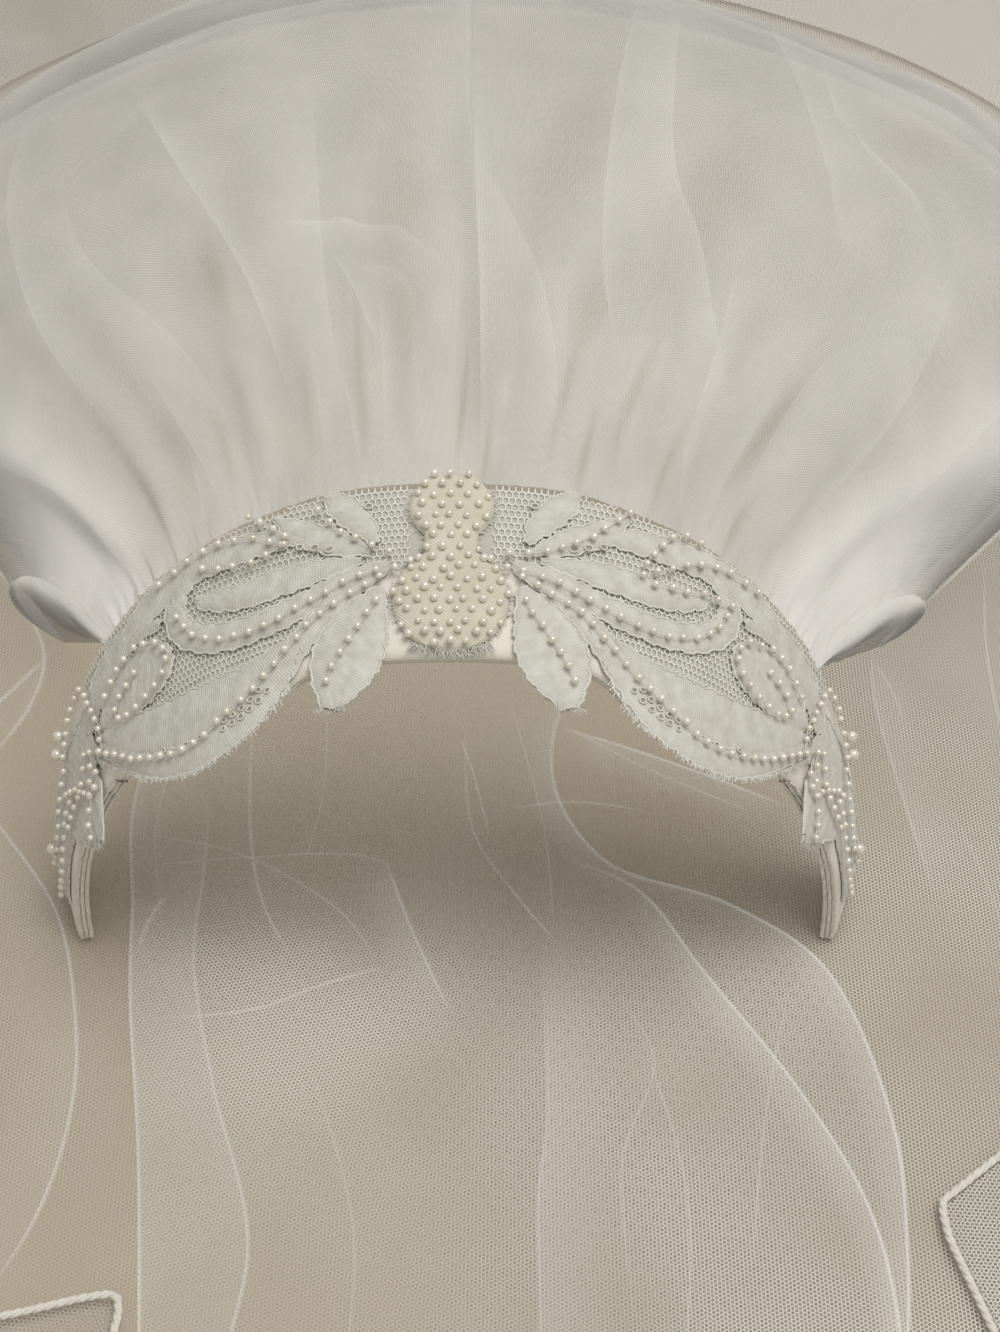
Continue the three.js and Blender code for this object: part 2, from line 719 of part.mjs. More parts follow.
function shortTier() {
  const top = [];
  const triangles = [];
  const at = (i, j) => i * (SHORT_ROWS + 1) + j;
  for (let i = 0; i <= SHORT_COLUMNS; i++) {
    for (let j = 0; j <= SHORT_ROWS; j++) {
      const [u, v] = [i / SHORT_COLUMNS, j / SHORT_ROWS];
      const p = shortPlace(u, v);
      top.push(new THREE.Vector3(p.x, p.y, SHORT_UNDERSIDE + TIER_WALL + shortFold(u, v)));
    }
  }
  for (let i = 0; i < SHORT_COLUMNS; i++) {
    for (let j = 0; j < SHORT_ROWS; j++) {
      const [a, b, c, d] = [at(i, j), at(i, j + 1), at(i + 1, j + 1), at(i + 1, j)];
      triangles.push([a, b, c], [a, c, d]);
    }
  }
  const loop = edgeLoop(SHORT_COLUMNS, SHORT_ROWS, at).reverse();
  return laidSheet(top, triangles, loop, SHORT_UNDERSIDE);
}

// Cord on the short tier: along the inner edge to one front corner, round the hem, and back again
function shortCord() {
  const places = [];
  const corner = 6;
  const inner = 12;
  for (let k = inner; k > 0; k--) places.push([(SHORT_CORD_INNER * k) / inner, 0]);
  for (let k = 0; k < corner; k++) places.push([0, k / corner]);
  for (let k = 0; k <= SHORT_COLUMNS; k++) places.push([k / SHORT_COLUMNS, 1]);
  for (let k = corner - 1; k >= 0; k--) places.push([1, k / corner]);
  for (let k = 1; k <= inner; k++) places.push([1 - (SHORT_CORD_INNER * k) / inner, 0]);
  const line = places.map(([u, v]) => {
    const p = shortPlace(u, v);
    const outward = new THREE.Vector2();
    if (v === 1) outward.add(p.clone().sub(shortPlace(u, 0.9)).normalize());
    if (v === 0) outward.add(p.clone().sub(shortPlace(u, 0.1)).normalize());
    if (u === 0) outward.add(p.clone().sub(shortPlace(0.01, v)).normalize());
    if (u === 1) outward.add(p.clone().sub(shortPlace(0.99, v)).normalize());
    p.addScaledVector(outward.normalize(), 1.8 * CORD_RADIUS);
    const z = SHORT_UNDERSIDE + CORD_RADIUS + GAP + 0.9 * shortFold(u, v);
    return new THREE.Vector3(p.x, p.y, z);
  });
  return cord(line, CORD_RADIUS, false);
}

const group = new THREE.Group();
group.name = 'bridal_veil';

const headpiece = new THREE.Group();
headpiece.name = 'headpiece';
headpiece.position.set(0, -HEAD_FORWARD, TIER_WALL + GAP);
group.add(headpiece);

function add(parent, name, geometry, surface) {
  const mesh = new THREE.Mesh(geometry, surface);
  mesh.name = name;
  parent.add(mesh);
}

add(group, 'long_tier', longTier(), material(colours.tulle, 0.85));
add(group, 'long_tier_cord', longCord(), material(colours.cord, 0.5));
add(group, 'short_tier', shortTier(), material(colours.tulle, 0.85));
add(group, 'short_tier_cord', shortCord(), material(colours.cord, 0.5));
add(headpiece, 'pouf', pouf(), material(colours.tulle, 0.85));
add(headpiece, 'headband_base', headbandBase(), material(colours.satin, 0.45));
add(headpiece, 'lace_medallion', medallion(), material(colours.medallion, 0.7));
for (const [name, side] of [['left', -1], ['right', 1]]) {
  add(headpiece, `lace_spray_${name}`, spray(side), material(colours.lace, 0.75));
  add(headpiece, `lace_petal_${name}`, petal(side), material(colours.lace, 0.75));
  add(headpiece, `lace_leg_${name}`, legLace(side), material(colours.lace, 0.75));
}

export default group;
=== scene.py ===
"""Bridal veil laid out on a surface: beaded lace headband, tulle pouf and two tulle tiers.

Sizes are in millimetres, as in the part's source, and become metres where a mesh is made.
On the band, a place is its distance along the arch from the top, its distance across the band from
the front edge, and its lift off the band's outer face.
"""
import math

import bpy
import numpy as np
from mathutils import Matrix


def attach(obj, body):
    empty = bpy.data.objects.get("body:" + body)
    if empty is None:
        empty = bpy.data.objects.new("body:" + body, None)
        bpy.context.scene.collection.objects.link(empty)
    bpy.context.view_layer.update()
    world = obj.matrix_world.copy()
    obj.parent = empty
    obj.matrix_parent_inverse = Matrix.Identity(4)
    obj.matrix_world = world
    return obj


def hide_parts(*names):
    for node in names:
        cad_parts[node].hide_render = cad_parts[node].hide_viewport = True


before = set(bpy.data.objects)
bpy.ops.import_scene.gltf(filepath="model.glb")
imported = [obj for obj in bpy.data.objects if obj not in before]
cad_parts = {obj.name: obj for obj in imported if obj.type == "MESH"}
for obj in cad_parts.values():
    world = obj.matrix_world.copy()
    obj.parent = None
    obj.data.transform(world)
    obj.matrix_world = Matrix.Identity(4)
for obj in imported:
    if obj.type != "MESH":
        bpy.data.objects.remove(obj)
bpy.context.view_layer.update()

MM = 0.001

# The headband's place on the tiers, and its arch
HEAD_FORWARD = 130
HEAD_LIFT = 1.7
ARCH_HALF_WIDTH = 77
ARCH_HEIGHT = 86
ARCH_POWER = 0.93
LEAN = math.radians(18)
BAND_THICKNESS = 3.2
GAP = 0.3

# Camera: its place over the headband, its tilt below the horizon and its lens
CAMERA_PLACE = (8.8, -416, 402.7)
CAMERA_TILT = math.radians(48)
CAMERA_LENS = 64.86

# Threads, beads and layers
NET_RADIUS = 0.13
NET_PITCH_ALONG = 1.05
NET_PITCH_ACROSS = 1.3
EDGE_CORD_RADIUS = 0.24
PEARL_RADIUS = 0.7
LARGE_PEARL_RADIUS = 1.2
PEARL_SPACING = 2.95
BEADING_THREAD = 0.1
CORD_RADIUS = 1.1
CORD_TWIST = 0.4
STRAND_RADIUS = 0.5
TULLE_PITCH = 0.72


def table(names, *rows):
    """Columns of a short table, by name."""
    return dict(zip(names.split(), np.array(rows, float).T))


BAND_EDGES = table(
    "along front back",
    (0, 0, 34.5), (20, 0, 34.5), (28, -1, 33.6), (36, -5.5, 32.8), (45, -8.5, 31.8), (53, -8.8, 30.6),
    (61, -6, 29), (69, -1.8, 27.2), (77, 0, 25.2), (90, 0, 22), (110, 0, 19), (130, 0, 18),
)
SPRAY_EDGES = table(
    "along low",
    (10, 16.4), (16, 14.8), (20, 12.4), (24, 8), (27.5, 2.4), (30, -3.4), (36, -8.2), (43, -10.8),
    (50, -11.8), (57, -10.6), (65, -6.4), (72, -0.6), (79, 6.5),
)
LEG_LACE_EDGES = table(
    "along low",
    (79.4, 2.5), (82, -4), (84.5, -8.8), (91, -4.6), (97, 0.2), (108, 0.6), (122, 0.8),
)
SPRAY_END = 79
LOBE_LOW = {"across": 10.8, "radius": 10.2}
LOBE_TOP = {"across": 29.4, "radius": 7.1}
WAIST_HALF_WIDTH = 4.6
MEDALLION_START = 0.8
MEDALLION_END = 36.3

# Pouf, as in the part's source
SEAM_LEFT = -70
SEAM_RIGHT = 76
POUF_RIM = table(
    "x y",
    (-90, 82), (-150, 172), (-140, 264), (-76, 326), (0, 345), (82, 324), (150, 262), (164, 172), (94, 80),
)
POUF_CENTRE_BACK = 160

# Tiers, as in the part's source
LONG_HALF_WIDTH = 420
LONG_HALF_DEPTH = 370
LONG_CORNER_POWER = 2.8
FOLD_CENTRE_BACK = 40
HEM_WAVE = 0.035
HEM_WAVES = 11
TIER_WALL = 1.4
SHORT_UNDERSIDE = TIER_WALL + GAP
SHORT_FOLDS = 19
SHORT_FOLD_HEIGHT = 10
SHORT_CORNER = {"along": 0.0035, "across": 0.05}
SHORT_TIER = table(
    "inX inY outX outY",
    (91, -62, 130, -188), (110, -47, 212, -184), (138, -26, 266, -142), (158, 20, 338, -70),
    (160, 85, 350, 50), (175, 165, 340, 200), (160, 272, 290, 345), (88, 336, 160, 430),
    (0, 357, 5, 452), (-82, 338, -150, 436), (-152, 272, -275, 355), (-163, 172, -345, 215),
    (-148, 85, -358, 60), (-150, 10, -345, -70), (-132, -52, -266, -142), (-98, -84, -188, -184),
    (-60, -80, -86, -190),
)
LONG_FOLDS = table(
    "turn height start reach",
    (-90, 3.5, 0.5, 2.6), (-67.5, 5, 0.91, 5), (-112.5, 4.5, 0.91, 5), (-41.25, 9.5, 0.91, 5),
    (-11.25, 12, 0.91, 5), (15, 9.5, 0.91, 5), (41.25, 12, 0.91, 5), (71.25, 9.5, 0.91, 5),
    (97.5, 12, 0.91, 5), (127.5, 9.5, 0.91, 5), (153.75, 12, 0.91, 5), (180, 9.5, 0.91, 5),
    (-157.5, 12, 0.91, 5), (-135, 5, 0.91, 5),
)


def smooth(rows, column, x, key="along"):
    """Value of a column at x, on the same smooth curve as in the part's source."""
    xs, ys = rows[key], rows[column]
    x = np.clip(x, xs[0], xs[-1])
    i = np.clip(np.searchsorted(xs, x, side="right") - 1, 0, len(xs) - 2)
    slope = np.empty_like(ys)
    slope[1:-1] = (ys[2:] - ys[:-2]) / (xs[2:] - xs[:-2])
    slope[0] = (ys[1] - ys[0]) / (xs[1] - xs[0])
    slope[-1] = (ys[-1] - ys[-2]) / (xs[-1] - xs[-2])
    span = xs[i + 1] - xs[i]
    t = (x - xs[i]) / span
    ease = t * t * (3 - 2 * t)
    bend = slope[i] * t * (1 - t) ** 2 - slope[i + 1] * t * t * (1 - t)
    return ys[i] * (1 - ease) + ys[i + 1] * ease + span * bend


def evenly(rows, column, x):
    """The same, for a table whose rows are evenly spaced from 0 to 1."""
    stepped = {"step": np.linspace(0, 1, len(rows[column])), column: rows[column]}
    return smooth(stepped, column, x, "step")


def lerp(a, b, t):
    return a + (b - a) * t


def smoothstep(x, low, high):
    t = np.clip((x - low) / (high - low), 0, 1)
    return t * t * (3 - 2 * t)


def unit(v):
    return v / np.maximum(np.linalg.norm(v, axis=-1, keepdims=True), 1e-9)


def grid(columns, rows):
    """Two arrays from 0 to 1, along and across a grid."""
    return np.meshgrid(np.linspace(0, 1, columns + 1), np.linspace(0, 1, rows + 1), indexing="ij")


# The arch as a table of equal turns
ARCH_TURN = np.linspace(0, math.pi / 2, 801)
ARCH_X = ARCH_HALF_WIDTH * np.sin(ARCH_TURN) ** ARCH_POWER
ARCH_Z = ARCH_HEIGHT * np.clip(np.cos(ARCH_TURN), 0, 1) ** ARCH_POWER
ARCH_ALONG = np.concatenate([[0], np.cumsum(np.hypot(np.diff(ARCH_X), np.diff(ARCH_Z)))])
ARCH_LENGTH = ARCH_ALONG[-1]
ARCH_OUT = unit(np.stack([-np.gradient(ARCH_Z), np.gradient(ARCH_X)], -1))
ARCH_OUT[0] = (0, 1)
ARCH_OUT[-1] = (1, 0)


def band_out(along):
    """Direction straight out of the arch, in its own plane."""
    distance = np.minimum(np.abs(along), ARCH_LENGTH)
    side = np.where(np.asarray(along) < 0, -1.0, 1.0)
    x = np.interp(distance, ARCH_ALONG, ARCH_OUT[:, 0])
    z = np.interp(distance, ARCH_ALONG, ARCH_OUT[:, 1])
    return side * x, z


def band_point(along, across, lift):
    """Point on the band, in the part's frame."""
    along, across, lift = np.broadcast_arrays(*(np.asarray(v, float) for v in (along, across, lift)))
    distance = np.minimum(np.abs(along), ARCH_LENGTH)
    side = np.where(along < 0, -1.0, 1.0)
    out_x, out_z = band_out(along)
    outward = across * math.sin(LEAN) + lift * math.cos(LEAN)
    x = side * np.interp(distance, ARCH_ALONG, ARCH_X) + out_x * outward
    y = across * math.cos(LEAN) - lift * math.sin(LEAN) - HEAD_FORWARD
    z = np.interp(distance, ARCH_ALONG, ARCH_Z) + out_z * outward + HEAD_LIFT
    return np.stack([x, y, z], -1)


def band_normal(along):
    """Direction straight off the band's outer face."""
    out_x, out_z = band_out(along)
    y = np.full_like(out_x, -math.sin(LEAN))
    return np.stack([out_x * math.cos(LEAN), y, out_z * math.cos(LEAN)], -1)


def band_front(along):
    return smooth(BAND_EDGES, "front", np.abs(along))


def band_back(along):
    return smooth(BAND_EDGES, "back", np.abs(along))


class Parts:
    """Meshes gathered into one piece: points, quads and triangles, flat measure and net density."""

    def __init__(self):
        self.points = []
        self.faces = []
        self.flat = []
        self.density = []
        self.count = 0

    def add(self, points, faces, flat=None, density=None, turned=False):
        """Adds points and faces; turned faces have their points in the other order."""
        points = np.asarray(points, float).reshape(-1, 3)
        flat = points[:, :2] if flat is None else np.asarray(flat, float).reshape(-1, 2)
        density = np.ones(len(points)) if density is None else np.broadcast_to(density, flat.shape[:1])
        self.points.append(points)
        for group in faces if isinstance(faces, tuple) else (faces,):
            self.faces.extend(((group[:, ::-1] if turned else group) + self.count).tolist())
        self.flat.append(flat)
        self.density.append(density)
        self.count += len(points)

    def make(self, name, surface, slot=None, nodes=(), rounded=True):
        mesh = bpy.data.meshes.new(name)
        mesh.from_pydata((np.concatenate(self.points) * MM).tolist(), [], self.faces)
        if rounded:
            mesh.shade_smooth()
        corners = np.empty(len(mesh.loops), int)
        mesh.loops.foreach_get("vertex_index", corners)
        layer = mesh.uv_layers.new(name="flat")
        layer.data.foreach_set("uv", np.concatenate(self.flat)[corners].ravel())
        values = mesh.attributes.new("cover", "FLOAT", "POINT")
        values.data.foreach_set("value", np.concatenate(self.density))
        mesh.materials.append(surface)
        piece = bpy.data.objects.new(name, mesh)
        bpy.context.scene.collection.objects.link(piece)
        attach(piece, "root")
        if nodes:
            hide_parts(*nodes)
        return piece


def quads(columns, rows, closed=False):
    """Faces of a grid of points with rows + 1 points in each column."""
    i, j = np.meshgrid(np.arange(columns), np.arange(rows), indexing="ij")
    step = rows + 1
    after = (i + 1) % columns if closed else i + 1
    return np.stack([i * step + j, after * step + j, after * step + j + 1, i * step + j + 1], -1).reshape(-1, 4)


def sweep(line, normals, radius, sides=6, closed=False):
    """Tube along a line of points."""
    line = np.asarray(line, float)
    if closed:
        tangent = unit(np.roll(line, -1, 0) - np.roll(line, 1, 0))
    else:
        tangent = unit(np.gradient(line, axis=0))
    binormal = unit(np.cross(tangent, normals))
    normal = np.cross(binormal, tangent)
    turn = 2 * math.pi * np.arange(sides) / sides
    radius = np.broadcast_to(radius, len(line))[:, None, None]
    ring = np.cos(turn)[None, :, None] * normal[:, None] + np.sin(turn)[None, :, None] * binormal[:, None]
    points = line[:, None] + radius * ring
    count = len(line)
    i, k = np.meshgrid(np.arange(count if closed else count - 1), np.arange(sides), indexing="ij")
    after, beside = (i + 1) % count, (k + 1) % sides
    faces = np.stack([i * sides + k, i * sides + beside, after * sides + beside, after * sides + k], -1)
    return points.reshape(-1, 3), faces.reshape(-1, 4)


def threads(starts, ends, normals, radius):
    """Short straight threads with three sides each."""
    direction = unit(ends - starts)
    binormal = unit(np.cross(direction, normals))
    normal = np.cross(binormal, direction)
    turn = 2 * math.pi * np.arange(3) / 3 - math.pi / 2
    ring = np.cos(turn)[None, :, None] * binormal[:, None] + np.sin(turn)[None, :, None] * normal[:, None]
    points = np.stack([starts[:, None] + radius * ring, ends[:, None] + radius * ring], 1)
    base = np.arange(len(starts))[:, None, None] * 6
    side = np.array([[0, 3, 4, 1], [1, 4, 5, 2], [2, 5, 3, 0]])[None]
    return points.reshape(-1, 3), (base + side).reshape(-1, 4)


def spheres(centres, radii):
    """Beads: a small round mesh repeated at each centre."""
    segments, rings = 12, 7
    turn = 2 * math.pi * np.arange(segments) / segments
    tilt = math.pi * (np.arange(rings) + 0.5) / rings
    ball = np.stack(
        [
            np.sin(tilt)[:, None] * np.cos(turn),
            np.sin(tilt)[:, None] * np.sin(turn),
            np.cos(tilt)[:, None] * np.ones(segments),
        ],
        -1,
    ).reshape(-1, 3)
    i, k = np.meshgrid(np.arange(rings - 1), np.arange(segments), indexing="ij")
    beside = (k + 1) % segments
    below, below_beside = (i + 1) * segments + k, (i + 1) * segments + beside
    sides = np.stack([i * segments + k, below, below_beside, i * segments + beside], -1)
    centres = np.asarray(centres, float)
    radii = np.broadcast_to(radii, len(centres))
    points = centres[:, None] + radii[:, None, None] * ball
    base = np.arange(len(centres))[:, None, None] * len(ball)
    faces = (base + sides.reshape(-1, 4)[None]).reshape(-1, 4)
    tops = base[:, :, 0] + np.arange(segments)[None]
    bottoms = base[:, :, 0] + (rings - 1) * segments + np.arange(segments)[None, ::-1]
    return points.reshape(-1, 3), (faces, tops, bottoms)


# Materials


def new_material(name, colour, roughness):
    surface = bpy.data.materials.new(name)
    surface.use_nodes = True
    nodes = surface.node_tree.nodes
    shader = nodes["Principled BSDF"]
    shader.inputs["Base Color"].default_value = (*colour, 1)
    shader.inputs["Roughness"].default_value = roughness
    return surface, nodes, surface.node_tree.links, shader


def math_node(nodes, links, operation, first, second=None):
    node = nodes.new("ShaderNodeMath")
    node.operation = operation
    for socket, value in zip(node.inputs, (first, second)):
        if value is None:
            continue
        if isinstance(value, (int, float)):
            socket.default_value = value
        else:
            links.new(value, socket)
    return node.outputs[0]


def flat_measure(nodes, links):
    """The cloth's own flat measure, in millimetres."""
    source = nodes.new("ShaderNodeUVMap")
    source.uv_map = "flat"
    return source.outputs["UV"]


def mottled(nodes, links, place, scale, low, high, detail=4.0, flat=True):
    """Soft uneven values between low and high."""
    noise = nodes.new("ShaderNodeTexNoise")
    noise.noise_dimensions = "2D" if flat else "3D"
    noise.inputs["Scale"].default_value = scale
    noise.inputs["Detail"].default_value = detail
    links.new(place, noise.inputs["Vector"])
    spread = nodes.new("ShaderNodeMapRange")
    spread.inputs["From Min"].default_value = 0.3
    spread.inputs["From Max"].default_value = 0.7
    spread.inputs["To Min"].default_value = low
    spread.inputs["To Max"].default_value = high
    links.new(noise.outputs["Fac"], spread.inputs["Value"])
    return spread.outputs["Result"]


def two_colours(nodes, links, shader, amount, first, second):
    """Colour between two others; the first may be another mix."""
    mix = nodes.new("ShaderNodeMix")
    mix.data_type = "RGBA"
    if isinstance(first, tuple):
        mix.inputs["A"].default_value = (*first, 1)
    else:
        links.new(first, mix.inputs["A"])
    mix.inputs["B"].default_value = (*second, 1)
    links.new(amount, mix.inputs["Factor"])
    links.new(mix.outputs["Result"], shader.inputs["Base Color"])
    return mix.outputs["Result"]


def waves(nodes, links, place, direction, pitch):
    """Cosine of a place measured along one direction."""
    dot = nodes.new("ShaderNodeVectorMath")
    dot.operation = "DOT_PRODUCT"
    dot.inputs[1].default_value = (*direction, 0)
    links.new(place, dot.inputs[0])
    turned = math_node(nodes, links, "MULTIPLY", dot.outputs["Value"], 2 * math.pi / pitch)
    return math_node(nodes, links, "COSINE", turned)


def add_bump(nodes, links, shader, height, distance, strength=1.0):
    bump = nodes.new("ShaderNodeBump")
    bump.inputs["Distance"].default_value = distance * MM
    bump.inputs["Strength"].default_value = strength
    links.new(height, bump.inputs["Height"])
    links.new(bump.outputs["Normal"], shader.inputs["Normal"])


def turn_up(nodes, links, shader, share):
    """Net is lit nearly alike whichever way it faces, so its normal is turned towards straight up."""
    facing = nodes.new("ShaderNodeNewGeometry").outputs["Normal"]
    for operation, value in (("MULTIPLY", (1 - share,) * 3), ("ADD", (0, 0, share)), ("NORMALIZE", None)):
        step = nodes.new("ShaderNodeVectorMath")
        step.operation = operation
        links.new(facing, step.inputs[0])
        if value:
            step.inputs[1].default_value = value
        facing = step.outputs["Vector"]
    links.new(facing, shader.inputs["Normal"])


def tulle_material(name, between, thread, upward, dark, light, cloudy, doubled=None):
    """Fine six-sided net: how much the open mesh and the threads hide, times the piece's density.

    Net with a density over 1 shows lighter, in the last colour: net that lies doubled, and places where a piece raises
    its density to paint light, as on the pouf's flanks and far edge and the tiers' right side.
    """
    surface, nodes, links, shader = new_material(name, light, 0.8)
    turn_up(nodes, links, shader, upward)
    place = flat_measure(nodes, links)
    total = None
    for turn in (0, 60, 120):
        angle = math.radians(turn)
        wave = waves(nodes, links, place, (math.cos(angle), math.sin(angle)), TULLE_PITCH)
        total = wave if total is None else math_node(nodes, links, "ADD", total, wave)
    net = nodes.new("ShaderNodeMapRange")
    net.interpolation_type = "SMOOTHSTEP"
    net.inputs["From Min"].default_value = -0.1
    net.inputs["From Max"].default_value = -1.1
    net.inputs["To Min"].default_value = between
    net.inputs["To Max"].default_value = thread
    links.new(total, net.inputs["Value"])
    density = nodes.new("ShaderNodeAttribute")
    density.attribute_name = "cover"
    cover = math_node(nodes, links, "MULTIPLY", net.outputs["Result"], density.outputs["Fac"])
    cloud = mottled(nodes, links, place, 0.03, 0, 1, detail=1)
    uneven = math_node(nodes, links, "MULTIPLY_ADD", cloud, cloudy)
    uneven.node.inputs[2].default_value = 1 - cloudy / 2
    cover = math_node(nodes, links, "MULTIPLY", cover, uneven)
    cover = math_node(nodes, links, "MINIMUM", cover, 0.97)
    links.new(cover, shader.inputs["Alpha"])
    colour = two_colours(nodes, links, shader, cloud, dark, light)
    if doubled:
        over = math_node(nodes, links, "SUBTRACT", density.outputs["Fac"], 1)
        two_colours(nodes, links, shader, over, colour, doubled)
    shader.inputs["Specular IOR Level"].default_value = 0.1
    return surface


def stitched_material(name, dark, light, pitch, depth, roughness, sheen):
    """Satin stitches across a line of lace: fine waves along the line and a cloudy colour."""
    surface, nodes, links, shader = new_material(name, light, roughness)
    place = flat_measure(nodes, links)
    stitch = waves(nodes, links, place, (1, 0.18), pitch)
    cloud = mottled(nodes, links, place, 0.35, 0, 1)
    height = math_node(nodes, links, "MULTIPLY_ADD", stitch, 0.5)
    height.node.inputs[2].default_value = 0.5
    add_bump(nodes, links, shader, height, depth)
    two_colours(nodes, links, shader, cloud, dark, light)
    shader.inputs["Sheen Weight"].default_value = sheen
    return surface


def woven_material(name, dark, light, pitch, depth, roughness, sheen):
    """Plain woven cloth: threads both ways."""
    surface, nodes, links, shader = new_material(name, light, roughness)
    place = flat_measure(nodes, links)
    warp = waves(nodes, links, place, (1, 0), pitch)
    weft = waves(nodes, links, place, (0, 1), pitch)
    height = math_node(nodes, links, "MULTIPLY", warp, weft)
    add_bump(nodes, links, shader, height, depth)
    two_colours(nodes, links, shader, mottled(nodes, links, place, 0.12, 0, 1), dark, light)
    shader.inputs["Sheen Weight"].default_value = sheen
    return surface


def pearl_material():
    surface, nodes, links, shader = new_material("pearl", (0.86, 0.83, 0.74), 0.22)
    place = nodes.new("ShaderNodeTexCoord").outputs["Object"]
    two_colours(nodes, links, shader, mottled(nodes, links, place, 260, 0, 1, flat=False), (0.82, 0.77, 0.65), (0.93, 0.9, 0.82))
    shader.inputs["Metallic"].default_value = 0.3
    shader.inputs["Coat Weight"].default_value = 0.7
    shader.inputs["Coat Roughness"].default_value = 0.08
    return surface


def floor_material():
    surface, nodes, links, shader = new_material("floor", (0.57, 0.5, 0.4), 0.8)
    place = nodes.new("ShaderNodeTexCoord").outputs["Object"]
    two_colours(nodes, links, shader, mottled(nodes, links, place, 9, 0, 1), (0.51, 0.43, 0.325), (0.57, 0.485, 0.375))
    return surface


# Last colours: lighter net where the density passes 1, for doubled net and for the painted light on the pouf's flanks
# and far edge and on the tiers' right side.
tulle_thick = tulle_material("tulle_pouf", 0.3, 0.6, 0.6, (0.66, 0.65, 0.615), (0.725, 0.705, 0.66), 0.2, (0.95, 0.93, 0.89))
tulle_light = (0.88, 0.86, 0.81)
tulle_thin = tulle_material("tulle_tier", 0.0, 0.7, 0.3, (0.63, 0.62, 0.575), (0.71, 0.695, 0.645), 0.3, tulle_light)
tulle_fold = tulle_material("tulle_fold", 0.5, 0.9, 0.4, (0.79, 0.78, 0.745), (0.84, 0.82, 0.77), 0.2)
lace_cloth = stitched_material("lace_cloth", (0.61, 0.59, 0.525), (0.73, 0.715, 0.655), 0.5, 0.05, 0.65, 0.4)
lace_thread = stitched_material("lace_thread", (0.7, 0.68, 0.61), (0.8, 0.785, 0.72), 0.8, 0.05, 0.55, 0.3)
# Painted shade: the darker sheet seen through the lace's net windows.
lace_shade = woven_material("lace_shade", (0.58, 0.56, 0.49), (0.66, 0.64, 0.57), 0.6, 0.04, 0.8, 0.1)
medallion_cloth = woven_material("medallion_cloth", (0.7, 0.665, 0.53), (0.78, 0.745, 0.62), 0.6, 0.06, 0.7, 0.3)
# Painted light: the net threads are a lighter copy of the lace's colour, which offsets the shade among them.
lace_net = stitched_material("lace_net", (0.78, 0.77, 0.71), (0.86, 0.85, 0.8), 0.8, 0.04, 0.6, 0.3)
satin = woven_material("satin", (0.84, 0.8, 0.69), (0.92, 0.89, 0.8), 0.35, 0.02, 0.45, 0.3)
raw_edge = woven_material("raw_edge", (0.86, 0.81, 0.7), (0.95, 0.92, 0.84), 0.5, 0.08, 0.8, 0.1)
# Painted shade: the dark colour of the discs in the lace's eyes, where one would see into shadow.
lace_hole = woven_material("lace_hole", (0.36, 0.34, 0.26), (0.44, 0.41, 0.32), 0.5, 0.05, 0.8, 0.1)
cord_thread = stitched_material("cord_thread", (0.8, 0.76, 0.67), (0.88, 0.85, 0.77), 0.5, 0.05, 0.5, 0.5)
pearl = pearl_material()


# Headband: padded satin band whose raw layers show along its front edge

BAND_SECTION = table(
    "across lift",
    (0.0, -0.35), (0.02, -0.12), (0.06, -0.02), (0.14, 0.0), (0.3, 0.0), (0.5, 0.0), (0.7, 0.0), (0.86, 0.0),
    (0.94, -0.04), (0.98, -0.18), (1.0, -0.5), (0.99, -0.75), (0.96, -0.94), (0.9, -1.0), (0.6, -1.0),
    (0.3, -1.0), (0.06, -1.0), (0.01, -0.98), (0.0, -0.86), (0.012, -0.82), (0.012, -0.76), (0.0, -0.72),
    (0.0, -0.62), (0.012, -0.58), (0.012, -0.52), (0.0, -0.48),
)


def satin_band():
    sections = 220
    parts = Parts()
    edges = Parts()
    along = np.linspace(-ARCH_LENGTH, ARCH_LENGTH, sections + 1)[:, None]
    front, back = band_front(along), band_back(along)
    across = lerp(front, back, BAND_SECTION["across"][None])
    lift = BAND_SECTION["lift"][None] * BAND_THICKNESS + 0 * across
    points = band_point(along + 0 * across, across, lift)
    points[..., 2] = np.maximum(points[..., 2], HEAD_LIFT)
    count = across.shape[1]
    i, k = np.meshgrid(np.arange(sections), np.arange(count), indexing="ij")
    beside = (k + 1) % count
    faces = np.stack([i * count + k, (i + 1) * count + k, (i + 1) * count + beside, i * count + beside], -1)
    flat = np.stack([along + 0 * across, across], -1)
    parts.add(points, faces.reshape(-1, 4), flat)
    last = sections * count
    parts.faces.append(list(range(count)))
    parts.faces.append(list(range(last + count - 1, last - 1, -1)))
    piece = parts.make("satin_band", satin, "satin", ["headband_base"])
    for side in (-1, 1):
        for layer in range(3):
            s = side * np.linspace(76, ARCH_LENGTH - 0.4, 60)
            wander = 0.12 * np.sin(1.7 * s + 2 * layer) + 0.1 * np.sin(0.9 * s + layer)
            for strip in range(2):
                w = band_front(s) - 0.25 + wander + 0.05 * strip
                centre = band_point(s, w, -0.55 - 0.95 * layer - 0.3 * strip)
                centre[:, 2] = np.maximum(centre[:, 2], HEAD_LIFT + 0.4)
                points, faces = sweep(centre, band_normal(s), 0.26, 5)
                edges.add(points, faces)
    edges.make("band_raw_edges", raw_edge, "satin")
    return piece


# Lace: ribbons of raised cloth on a net ground, with corded edges

